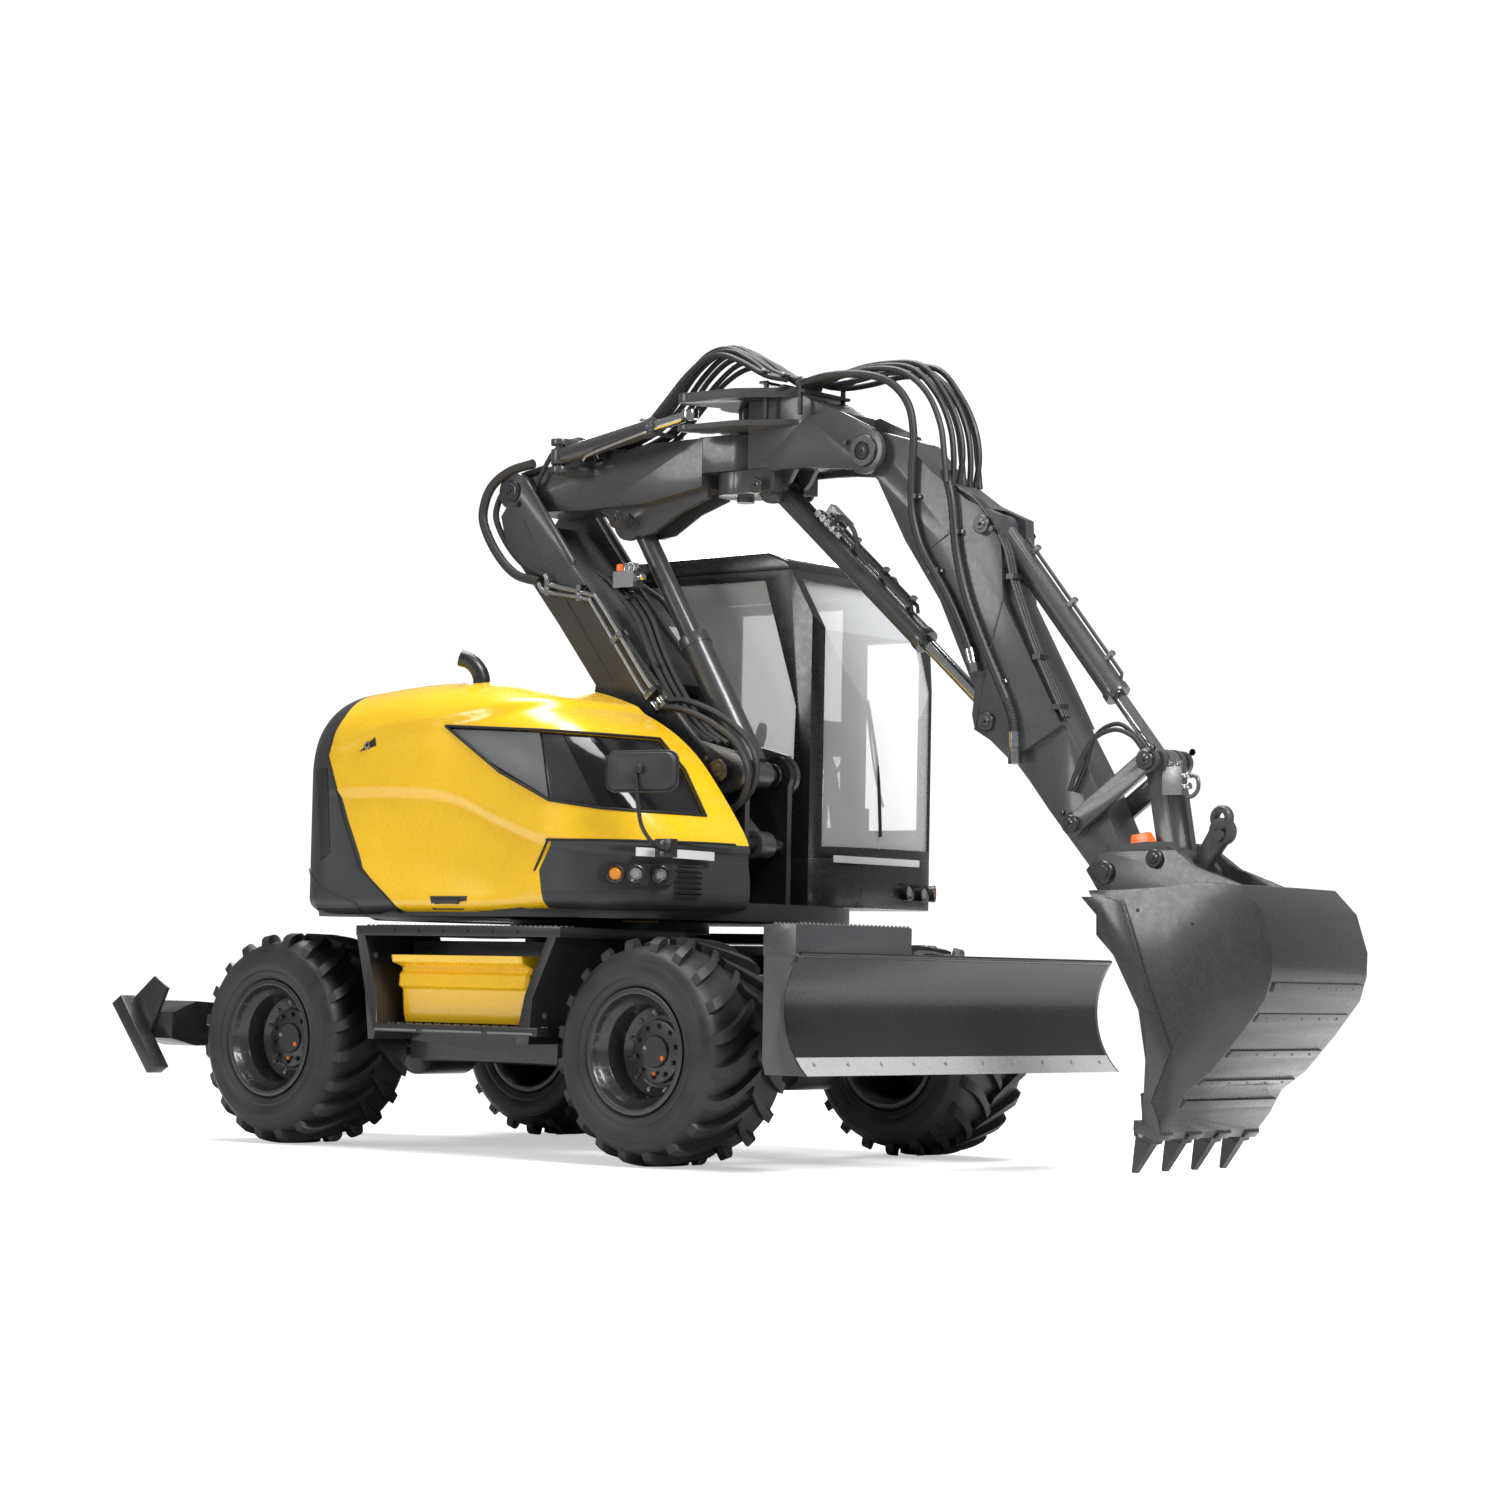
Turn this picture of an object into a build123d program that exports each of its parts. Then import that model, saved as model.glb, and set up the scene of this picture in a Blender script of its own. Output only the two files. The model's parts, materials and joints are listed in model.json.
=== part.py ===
from build123d import *
from math import cos, hypot, pi, radians, sin, sqrt
import os

os.makedirs("parts", exist_ok=True)

# Wheeled excavator with an articulated boom, a front blade and rear stabilisers.
# Millimetres; x runs towards the blade, y to the machine's left, z up.
# Sizes along x are measured from the slew axis, heights from the ground.

# Driving sizes of the undercarriage
overall_width = 2550
front_axle_x = 1300
wheelbase = 2527
tyre_radius = 545
tyre_width = 600
rim_seat_radius = 285
rim_radius = rim_seat_radius + 15
carcass_radius = 524
lug_radius = tyre_radius
lug_half = 24
lug_slant = 24
lug_rows = 15
bead_sides = 24
hub_face_inset = 190
kingpin_inset = 475
spindle_radius = 60
spindle_end_inset = 205
frame_half_width = 330
ring_radius = 520
deck_z = 1180
deck_thickness = 90

# Driving sizes of the arm, as pin centres (x, z)
base_pin = (975, 1930)
top_pin = (-560, 3460)
lift_eye = (150, 3265)
offset_axis_x = 870
stick_pin = (1787, 3490)
stick_foot = (1110, 3370)
stick_eye = (2510, 2140)
bucket_foot = (2480, 3085)
bucket_pin = (3236, 1420)
lever_pin = (3024, 1645)
link_pin = (3426, 1935)
tool_pin = (3510, 1480)
shove_foot = (1000, 1572)
shove_eye = (161, 2360)
offset_foot = (-150, 3600)
offset_eye = (741, 3745)

# Heights above the wheels are those on the 545 tyre: ride lifts the machine when the tyre grows

# Clearances
pin_gap = 0.05
side_gap = 6
pin_radius = 40

half_width = overall_width / 2
kingpin_y = half_width - kingpin_inset
ride = 2 * (tyre_radius - 545)
rear_axle_x = front_axle_x - wheelbase
wheel_y = half_width - tyre_width / 2

made = []


def keep(part, name, lift=None):
    made.append((name, part.moved(Location((0, 0, ride if lift is None else lift)))))


def along(foot, eye, y=0):
    """Plane whose x axis runs from one pin centre to another in a plane of constant y."""
    run = Vector(eye[0] - foot[0], 0, eye[1] - foot[1])
    return Plane(origin=(foot[0], y, foot[1]), x_dir=run.normalized(), z_dir=(0, -1, 0))


def side(y):
    """Plane of constant y whose local x, y are the machine's x, z, facing the machine's right."""
    return Plane(origin=(0, y, 0), x_dir=(1, 0, 0), z_dir=(0, -1, 0))


def distance(a, b):
    return hypot(b[0] - a[0], b[1] - a[1])


def pinned(plane, bore, reach):
    """Cuts a bore for a running pin through the part that is being built."""
    with BuildSketch(plane) as hole:
        Circle(bore + pin_gap)
    extrude(hole.sketch, amount=reach, both=True, mode=Mode.SUBTRACT)


def ram(foot, eye, pin_axis, size):
    """Barrel and rod of a hydraulic cylinder between two pin centres.

    size: barrel radius, rod radius, barrel length, rod inner end,
    foot eye radius, half width, pin radius, rod eye radius, half width, pin radius.
    """
    (barrel_r, rod_r, barrel_end, rod_start,
     foot_r, foot_half, foot_pin, eye_r, eye_half, eye_pin) = size
    foot = Vector(*foot)
    eye = Vector(*eye)
    pin_axis = Vector(*pin_axis)
    run = eye - foot
    axis = Axis(foot, run.normalized())
    flat = Plane(origin=foot, x_dir=run.normalized(), z_dir=run.cross(pin_axis).cross(run).normalized())
    foot_plane = Plane(origin=foot, z_dir=pin_axis)
    eye_plane = Plane(origin=eye, z_dir=pin_axis)
    neck_start = foot_r * 0.7
    with BuildPart() as barrel:
        with BuildSketch(flat):
            with Locations((neck_start, 0)):
                Rectangle(barrel_end - neck_start, barrel_r, align=(Align.MIN, Align.MIN))
            with Locations((barrel_end - 1.2 * rod_r, 0)):
                Rectangle(1.2 * rod_r, barrel_r + 6, align=(Align.MIN, Align.MIN))
        revolve(axis=axis)
        with BuildSketch(foot_plane):
            Circle(foot_r)
        extrude(amount=foot_half, both=True)
        with BuildSketch(flat):
            with Locations((foot_r + 12, 0)):
                Rectangle(barrel_end, rod_r + pin_gap, align=(Align.MIN, Align.MIN))
        revolve(axis=axis, mode=Mode.SUBTRACT)
        pinned(foot_plane, foot_pin, foot_half + 1)
    with BuildPart() as rod:
        with BuildSketch(flat):
            with Locations((rod_start, 0)):
                Rectangle(run.length - 0.7 * eye_r - rod_start, rod_r, align=(Align.MIN, Align.MIN))
        revolve(axis=axis)
        with BuildSketch(eye_plane):
            Circle(eye_r)
        extrude(amount=eye_half, both=True)
        pinned(eye_plane, eye_pin, eye_half + 1)
    return barrel.part, rod.part


def cheeks(outline, inner, thick, rounds=()):
    """Two like side plates, mirrored about the middle plane, in the part that is being built.

    rounds: (x, z, radius) discs that finish the outline at its pins.
    """
    for hand in (-1, 1):
        with BuildSketch(side(hand * (inner + thick / 2))) as plate:
            Polygon(*outline, align=None)
            for x, z, r in rounds:
                with Locations((x, z)):
                    Circle(r)
        extrude(plate.sketch, amount=thick / 2, both=True)


def cross_pin(centre, radius, half_length, mode=Mode.ADD):
    """A pin or bore along y, centred on the middle plane."""
    with BuildSketch(side(0)) as disc:
        with Locations(centre):
            Circle(radius)
    extrude(disc.sketch, amount=half_length, both=True, mode=mode)


def stub_pins(centre, radius, inner, outer):
    """Pin ends on both ears of an open eye, which stop short of the eye."""
    for hand in (-1, 1):
        with BuildSketch(side(hand * (inner + outer) / 2)) as disc:
            with Locations(centre):
                Circle(radius)
        extrude(disc.sketch, amount=(outer - inner) / 2, both=True)


# Wheels: a tyre and a rim for each corner
def carcass():
    """Tyre body as a ruled loft of many-sided rings, so that the lugs meet flat faces."""
    half = tyre_width / 2
    rings = (
        # place across the tyre, radius over its corners
        (-half + 22, rim_radius + 31), (-half + 3, carcass_radius - 110), (-half + 40, carcass_radius - 18),
        (-half + 110, carcass_radius), (half - 110, carcass_radius), (half - 40, carcass_radius - 18),
        (half - 3, carcass_radius - 110), (half - 22, rim_radius + 31),
    )
    seat_corner = (rim_seat_radius + 0.3) / cos(pi / bead_sides)
    flange_corner = (rim_radius + 0.5) / cos(pi / bead_sides)
    with BuildPart() as body:
        for across, radius in rings:
            with BuildSketch(Plane(origin=(0, across, 0), x_dir=(1, 0, 0), z_dir=(0, 1, 0))):
                RegularPolygon(radius, lug_rows)
        loft(ruled=True)
        with BuildSketch(Plane(origin=(0, 0, 0), x_dir=(1, 0, 0), z_dir=(0, 1, 0))):
            RegularPolygon(seat_corner, bead_sides)
        extrude(amount=half, both=True, mode=Mode.SUBTRACT)
        for hand in (-1, 1):
            with BuildSketch(Plane(origin=(0, hand * (half - 42.3), 0), x_dir=(1, 0, 0), z_dir=(0, hand, 0))):
                RegularPolygon(flange_corner, bead_sides)
            extrude(amount=60, mode=Mode.SUBTRACT)
    return body.part


def lug(angle, hand):
    """One tread bar, from the middle of the tyre over its shoulder."""
    half = tyre_width / 2
    profile = ((-10, carcass_radius - 14), (-10, lug_radius), (half - 110, lug_radius - 6),
               (half - 18, lug_radius - 60), (half - 60, carcass_radius - 60))
    with BuildPart() as bar:
        with BuildSketch(Plane(origin=(0, 0, 0), x_dir=(0, hand, 0), z_dir=(1, 0, 0))):
            Polygon(*profile, align=None)
        extrude(amount=lug_half, both=True)
    return bar.part.rotate(Axis.Z, -hand * lug_slant).rotate(Axis.Y, angle)


def tyre():
    pitch = 360 / lug_rows
    bars = [lug((row + (0.5 if hand > 0 else 0)) * pitch, hand) for row in range(lug_rows) for hand in (-1, 1)]
    return carcass().fuse(*bars)


def rim(x, hand):
    """Wheel rim with its deep outer dish and the planetary hub cover."""
    edge = tyre_width / 2
    dish = rim_seat_radius
    hub = 0.52 * rim_seat_radius
    flange = ((dish, 42), (rim_radius, 38), (rim_radius, 20), (dish - 12, 20),
              (0.9 * dish, 60), (0.79 * dish, 90), (0.755 * dish, hub_face_inset),
              (hub + 22, hub_face_inset + 30), (hub + 3, hub_face_inset + 30), (hub, hub_face_inset - 12),
              (0, hub_face_inset - 12), (0, spindle_end_inset), (spindle_radius + pin_gap, spindle_end_inset),
              (spindle_radius + pin_gap, hub_face_inset + 55), (0.72 * dish, hub_face_inset + 55),
              (0.825 * dish, hub_face_inset + 30), (0.877 * dish, 130), (0.895 * dish, tyre_width - 60),
              (dish - 12, tyre_width - 20), (rim_radius, tyre_width - 20),
              (rim_radius, tyre_width - 38), (dish, tyre_width - 42))
    with BuildPart() as body:
        with BuildSketch(Plane(origin=(x, hand * (wheel_y + edge), tyre_radius), x_dir=(0, 0, 1), z_dir=(1, 0, 0))):
            Polygon(*[(r, hand * w) for r, w in flange], align=None)
        revolve(axis=Axis((x, 0, tyre_radius), (0, 1, 0)))
    return body.part


corners = (
    # name, x of the axle, side of the machine
    ("front_left", front_axle_x, 1),
    ("front_right", front_axle_x, -1),
    ("rear_left", rear_axle_x, 1),
    ("rear_right", rear_axle_x, -1),
)
plain_tyre = tyre()
for corner, x, hand in corners:
    turned = plain_tyre if hand < 0 else plain_tyre.rotate(Axis.Z, 180)
    keep(turned.moved(Location((x, hand * wheel_y, tyre_radius))), "tyre_" + corner, 0)
    keep(rim(x, hand), "rim_" + corner, 0)

# Axles, with steered knuckles at the front
hub_back_y = half_width - hub_face_inset - 55
spindle_end_y = half_width - spindle_end_inset - 0.3
kingpin_radius = 30
axle_end_half = 95
for label, x in (("front_axle", front_axle_x), ("rear_axle", rear_axle_x)):
    steered = label == "front_axle"
    with BuildPart() as axle:
        with BuildSketch(Plane(origin=(x, 0, tyre_radius), z_dir=(0, 1, 0))):
            Circle(80)
        extrude(amount=kingpin_y - 50 if steered else hub_back_y - 5, both=True)
        with BuildSketch(Plane(origin=(x, 0, tyre_radius - 45), z_dir=(0, 1, 0))):
            Circle(150)
        extrude(amount=170, both=True)
        with Locations((x, 0, tyre_radius + 55)):
            Box(220, 2 * frame_half_width - 60, 650 + ride - tyre_radius - 55,
                align=(Align.CENTER, Align.CENTER, Align.MIN))
        if steered:
            for hand in (-1, 1):
                with Locations((x, hand * kingpin_y, tyre_radius)):
                    Cylinder(75, 2 * axle_end_half)
                    Cylinder(kingpin_radius + pin_gap, 2 * axle_end_half + 2, mode=Mode.SUBTRACT)
        else:
            with BuildSketch(Plane(origin=(x, 0, tyre_radius), z_dir=(0, 1, 0))):
                Circle(105)
            extrude(amount=hub_back_y - 5, both=True)
            with BuildSketch(Plane(origin=(x, 0, tyre_radius), z_dir=(0, 1, 0))):
                Circle(spindle_radius)
            extrude(amount=spindle_end_y, both=True)
    keep(axle.part, label, 0)

for corner, hand in (("left", 1), ("right", -1)):
    lug_low = axle_end_half + 5
    lug_high = lug_low + 30
    with BuildPart() as knuckle:
        with Locations((front_axle_x, hand * kingpin_y, tyre_radius)):
            Cylinder(kingpin_radius, 2 * lug_high)
            for up in (-1, 1):
                with Locations((0, 0, up * (lug_low + lug_high) / 2)):
                    Cylinder(78, lug_high - lug_low)
                    with Locations((0, hand * 75, 0)):
                        Box(156, 150, lug_high - lug_low)
            with Locations((0, hand * 130, 0)):
                Box(156, 40, 2 * lug_high)
        with BuildSketch(Plane(origin=(front_axle_x, hand * (kingpin_y + 110), tyre_radius), z_dir=(0, hand, 0))):
            Circle(110)
        extrude(amount=hub_back_y - 5 - kingpin_y - 110)
        with BuildSketch(Plane(origin=(front_axle_x, hand * (kingpin_y + 110), tyre_radius), z_dir=(0, hand, 0))):
            Circle(spindle_radius)
        extrude(amount=spindle_end_y - kingpin_y - 110)
    keep(knuckle.part, "knuckle_" + corner, 0)

# Chassis frame, with the pedestal of the slew ring, blade nose and stabiliser housing
arm_root = (1560, 500)
arm_length = 548
arm_rise = radians(25)
arm_gap = 260
arm_tip = (arm_root[0] + arm_length * cos(arm_rise), arm_root[1] + arm_length * sin(arm_rise))
top_arm_root = (arm_root[0], arm_root[1] + arm_gap)
top_arm_tip = (arm_tip[0], arm_tip[1] + arm_gap)
blade_foot = (1480, 1000)
blade_eye = (arm_root[0] + 420 * cos(arm_rise), arm_root[1] + 420 * sin(arm_rise))
arm_pin = 35
nose_half = 190
arm_inner = 200
arm_outer = 240
leg_pivot = (250, 560)
leg_x = rear_axle_x - 1018
leg_half = 135
leg_pin = 35
frame_outline = (
    (rear_axle_x - 393, 480), (rear_axle_x - 393, 880), (rear_axle_x - 293, 920), (1440, 920), (1460, 900),
    (1460, 650), (1140, 650), (1060, 430), (rear_axle_x + 227, 430), (rear_axle_x + 167, 650),
    (rear_axle_x - 163, 650), (rear_axle_x - 163, 480),
)
nose_outline = ((1440, 920), (1500, 820), (1600, 820), (1600, 460), (1540, 440), (1460, 440), (1440, 650))
with BuildPart() as frame:
    with BuildSketch(side(0)):
        Polygon(*frame_outline, align=None)
    extrude(amount=frame_half_width, both=True)
    with BuildSketch(side(0)):
        Polygon(*nose_outline, align=None)
    extrude(amount=nose_half, both=True)
    with Locations((1560, 0, 700)):
        Box(200, 130, 320, mode=Mode.SUBTRACT)
    for pin in (arm_root, top_arm_root):
        cross_pin(pin, arm_pin, arm_outer)
    for hand in (-1, 1):
        with BuildSketch(side(hand * 66)):
            Polygon((1400, 915), (1440, 1000), (1480, 1040), (1530, 1000), (1440, 915), align=None)
            with Locations(blade_foot):
                Circle(48)
        extrude(amount=12, both=True)
    cross_pin(blade_foot, 25, 84)
    with Locations((0, 0, 920)):
        Cylinder(440, 170, align=(Align.CENTER, Align.CENTER, Align.MIN))
    with Locations((0, 0, 1090)):
        Cylinder(ring_radius, 38, align=(Align.CENTER, Align.CENTER, Align.MIN))
    with Locations((leg_x + 405, 0, 680)):
        Box(460, 360, 300)
    for x_face in (leg_x - leg_half - 25, leg_x + leg_half + 25):
        with BuildSketch(Plane(origin=(x_face, 0, 0), x_dir=(0, 1, 0), z_dir=(1, 0, 0))):
            Polygon((-340, 480), (-340, 640), (-200, 830), (200, 830), (340, 640), (340, 480), align=None)
        extrude(amount=15, both=True)
    with Locations((leg_x, 0, 800)):
        Box(2 * leg_half + 50, 380, 50)
    for hand in (-1, 1):
        with BuildSketch(Plane(origin=(leg_x, 0, 0), x_dir=(0, 1, 0), z_dir=(1, 0, 0))):
            with Locations((hand * leg_pivot[0], leg_pivot[1])):
                Circle(leg_pin)
        extrude(amount=leg_half + 40, both=True)
keep(frame.part, "chassis_frame")

# Side platforms with steps, and the tool boxes in them
step_front = front_axle_x - tyre_radius - 128
step_back = rear_axle_x + tyre_radius + 82
box_inner = half_width - 300
box_outer = half_width - 50
with BuildPart() as steps:
    for hand in (-1, 1):
        with Locations(((step_front + step_back) / 2 + 25, hand * (frame_half_width + box_inner - 5) / 2, 760)):
            Box(step_front - step_back - 210, box_inner - 5 - frame_half_width, 600)
        with Locations(((step_front + 180 + step_back) / 2, hand * (frame_half_width + half_width - 25) / 2, 1105)):
            Box(step_front + 180 - step_back, half_width - 25 - frame_half_width, 50)
        with Locations(((step_front + step_back) / 2 + 90, hand * (half_width - 165), 620)):
            Box(step_front - step_back - 100, 280, 40)
        with BuildSketch(side(hand * (half_width - 300))):
            Polygon((step_front + 180, 1080), (step_front + 150, 1080), (step_front, 780), (step_front - 20, 560),
                    (step_front - 100, 560), (step_front - 90, 640), (step_front - 50, 800),
                    (step_front + 90, 1080), align=None)
            Polygon((step_back, 1080), (step_back + 60, 1080), (step_back + 150, 800), (step_back + 160, 640),
                    (step_back + 140, 560), (step_back + 100, 560), (step_back + 70, 800), align=None)
        extrude(amount=270, both=True)
    with Locations((0, 0, 910)):
        Cylinder(446, 300, align=(Align.CENTER, Align.CENTER, Align.MIN), mode=Mode.SUBTRACT)
    with Locations((0, 0, 1074)):
        Cylinder(526, 100, align=(Align.CENTER, Align.CENTER, Align.MIN), mode=Mode.SUBTRACT)
keep(steps.part, "side_steps")
box_outline = ((box_inner, 1080), (box_outer, 1080), (box_outer, 1000), (box_outer - 12, 985), (box_outer - 12, 950),
               (box_outer - 105, 820), (box_outer - 105, 645), (box_inner, 645))
with BuildPart() as boxes:
    for hand in (-1, 1):
        with BuildSketch(Plane(origin=((step_front + step_back) / 2 + 55, 0, 0), x_dir=(0, 1, 0), z_dir=(1, 0, 0))):
            Polygon(*[(hand * y, z) for y, z in box_outline], align=None)
        extrude(amount=(step_front - step_back - 326) / 2, both=True)
keep(boxes.part, "tool_boxes")

# Front blade with its parallel arms and cylinder
blade_top = (2294, 1017)
blade_mid = (2205, 760)
blade_bottom = (2343, 463)
blade_back_x = 2100
blade_plate = 20
lug_inner = 246
lug_outer = 286
with BuildPart() as blade:
    with BuildSketch(side(0)):
        with BuildLine():
            ThreePointArc(blade_top, blade_mid, blade_bottom)
            Line(blade_bottom, (blade_bottom[0] - blade_plate, blade_bottom[1]))
            ThreePointArc((blade_bottom[0] - blade_plate, blade_bottom[1]),
                          (blade_mid[0] - blade_plate, blade_mid[1]),
                          (blade_top[0] - blade_plate, blade_top[1]))
            Line((blade_top[0] - blade_plate, blade_top[1]), blade_top)
        make_face()
    extrude(amount=half_width - blade_plate, both=True)
    for hand in (-1, 1):
        with BuildSketch(side(hand * (half_width - blade_plate / 2))):
            with BuildLine():
                ThreePointArc(blade_top, blade_mid, blade_bottom)
                Polyline(blade_bottom, (blade_back_x + 20, blade_bottom[1]), (blade_back_x, 520),
                         (blade_back_x, 1020), blade_top)
            make_face()
        extrude(amount=blade_plate / 2, both=True)
    with Locations((2150, 0, 560), (2150, 0, 960)):
        Box(90, 2 * (half_width - blade_plate), 80)
    with Locations((2160, 0, 760)):
        Box(80, 1300, 400)
    for inner, outer in ((lug_inner, lug_outer), (arm_inner - 46, arm_inner - 6)):
        cheeks(((2110, 640), (2110, 1010), (arm_tip[0], top_arm_tip[1] + 45), (arm_tip[0] - 45, top_arm_tip[1]),
                (arm_tip[0] - 50, arm_tip[1]), (arm_tip[0], arm_tip[1] - 50)), inner, outer - inner,
               ((arm_tip[0], arm_tip[1], 50), (top_arm_tip[0], top_arm_tip[1], 45)))
    cross_pin(arm_tip, arm_pin, lug_outer)
    cross_pin(top_arm_tip, arm_pin, lug_outer)
    with Locations((2190, 435 - half_width, 1078)):
        Box(190, 870, 144)
keep(blade.part, "blade")

for label, root, tip, width in (("blade_lower_arms", arm_root, arm_tip, 52),
                                ("blade_upper_arms", top_arm_root, top_arm_tip, 44)):
    reach = Vector(tip[0] - root[0], tip[1] - root[1]).normalized()
    cross = Vector(-reach.Y, reach.X) * (width * 0.8)
    outline = [(root[0] + cross.X, root[1] + cross.Y), (tip[0] + cross.X, tip[1] + cross.Y),
               (tip[0] - cross.X, tip[1] - cross.Y), (root[0] - cross.X, root[1] - cross.Y)]
    with BuildPart() as arms:
        cheeks(outline, arm_inner, arm_outer - arm_inner, ((*root, width), (*tip, width)))
        if label == "blade_lower_arms":
            for hand in (-1, 1):
                with BuildSketch(side(hand * 118)):
                    with Locations(blade_eye):
                        Circle(38)
                extrude(amount=82, both=True)
        cross_pin(root, arm_pin + pin_gap, arm_outer + 1, Mode.SUBTRACT)
        cross_pin(tip, arm_pin + pin_gap, arm_outer + 1, Mode.SUBTRACT)
    keep(arms.part, label)

barrel, rod = ram((blade_foot[0], 0, blade_foot[1]), (blade_eye[0], 0, blade_eye[1]), (0, 1, 0),
                  (45, 25, 400, 110, 45, 32, 25, 40, 28, 25))
keep(barrel, "blade_cylinder")
keep(rod, "blade_rod")

# Rear stabiliser legs, raised, with their pads
leg_outer_y = half_width - 145
pad_cheek = ((-235, 680), (-115, 560), (-25, 550), (105, 790), (-5, 850))
pad_line = ((-225, 700), (-155, 745), (135, 370), (75, 335))
for corner, hand in (("left", 1), ("right", -1)):
    with BuildPart() as leg:
        with BuildSketch(Plane(origin=(leg_x, 0, 0), x_dir=(0, 1, 0), z_dir=(1, 0, 0))):
            with Locations((hand * leg_pivot[0], leg_pivot[1])):
                Circle(75)
            Polygon((hand * leg_pivot[0], 485), (hand * leg_pivot[0], 635), (hand * 420, 690),
                    (hand * (leg_outer_y - 170), 720), (hand * leg_outer_y, 660), (hand * leg_outer_y, 520),
                    (hand * (leg_outer_y - 170), 480), align=None)
        extrude(amount=leg_half - 6, both=True)
        with BuildSketch(Plane(origin=(leg_x, 0, 0), x_dir=(0, 1, 0), z_dir=(1, 0, 0))):
            with Locations((hand * leg_pivot[0], leg_pivot[1])):
                Circle(leg_pin + pin_gap)
        extrude(amount=leg_half, both=True, mode=Mode.SUBTRACT)
        with BuildSketch(side(hand * (leg_outer_y + 10))):
            Polygon(*[(leg_x + x, z) for x, z in pad_cheek], align=None)
        extrude(amount=10, both=True)
        with BuildSketch(side(hand * (leg_outer_y + 70))):
            Polygon(*[(leg_x + x, z) for x, z in pad_line], align=None)
        extrude(amount=50, both=True)
    keep(leg.part, "stabiliser_leg_" + corner)

# Turret: deck, boom bracket, counterweight, hood, console and engine
bracket_inner = 150
bracket_thick = 35
link_inner = 195
link_thick = 30
body_bottom = 1180
body_y = half_width - 55
tail_radius = 1560
slot_left = 280
slot_right = 340
cab_right = 300
cab_left = half_width - 35
cab_middle = (cab_left + cab_right) / 2


shoulder_line = ((body_y, 1100), (body_y, 2060), (body_y - 35, 2190), (body_y - 110, 2285), (body_y - 240, 2345),
                 (body_y - 420, 2390), (500, 2420))
corner_radius = 660


def upper_body(inset, low, high):
    """Outer form of the turret's right side and tail, drawn in by an inset."""
    top = ((-1700, 1800), (-1560, 2120), (-1350, 2270), (-900, 2340), (-150, 2370), (350, 2290),
           (720, 2130), (950, 1930), (1240, 1540), (1400, 1300))
    with BuildPart() as body:
        radius = tail_radius - inset
        flank = body_y - inset
        bend = corner_radius - inset
        bend_y = body_y - corner_radius
        tail_x = -sqrt(radius ** 2 - flank ** 2)
        with BuildSketch(Plane.XY.offset(low)):
            with BuildLine():
                Line((tail_x, -flank), (600, -flank))
                ThreePointArc((600, -flank), (600 + 0.7071 * bend, -bend_y - 0.7071 * bend), (600 + bend, -bend_y))
                Line((600 + bend, -bend_y), (600 + bend, bend_y))
                ThreePointArc((600 + bend, bend_y), (600 + 0.7071 * bend, bend_y + 0.7071 * bend), (600, flank))
                Line((600, flank), (tail_x, flank))
                ThreePointArc((tail_x, flank), (-radius, 0), (tail_x, -flank))
            make_face()
        extrude(amount=high - low)
        with BuildSketch(side(0)):
            outline = [(x, z - inset) for x, z in top]
            Polygon(*outline, (1400, low - 10), (-1700, low - 10), align=None)
        extrude(amount=1400, both=True, mode=Mode.INTERSECT)
        with BuildSketch(Plane(origin=(-1700, 0, 0), x_dir=(0, 1, 0), z_dir=(1, 0, 0))):
            shoulder = [(y - inset, z - inset) for y, z in shoulder_line]
            Polygon(*shoulder, *[(-y, z) for y, z in reversed(shoulder)], align=None)
        extrude(amount=3200, mode=Mode.INTERSECT)
    return body.part


def region(x0, x1, y0, y1, z0, z1, mode=Mode.INTERSECT):
    with Locations(((x0 + x1) / 2, (y0 + y1) / 2, (z0 + z1) / 2)):
        Box(x1 - x0, y1 - y0, z1 - z0, mode=mode)


hood_wall = 30
hood_gap = 6
console_top = 1545
tail_line = ((-780, 2600), (-795, 2200), (-870, 2000), (-735, 1660), (-616, 1420), (-284, 1165))
console_line = ((640, 1165), (601, 1405), (684, 1551), (1400, 1551))
window_outline = ((13, 2124), (620, 2086), (885, 2044), (1142, 2046), (1244, 1683), (927, 1706),
                  (680, 1744), (51, 2028))
window_depth = 16


def prism(outline, y0=-1400, y1=1400):
    """Solid between two planes of constant y over an outline of (x, z) points."""
    with BuildPart() as block:
        with BuildSketch(Plane(origin=(0, y1, 0), x_dir=(1, 0, 0), z_dir=(0, -1, 0))):
            Polygon(*outline, align=None)
        extrude(amount=y1 - y0)
    return block.part


def aside(outline, dx):
    return tuple((x + dx, z) for x, z in outline)


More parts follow.
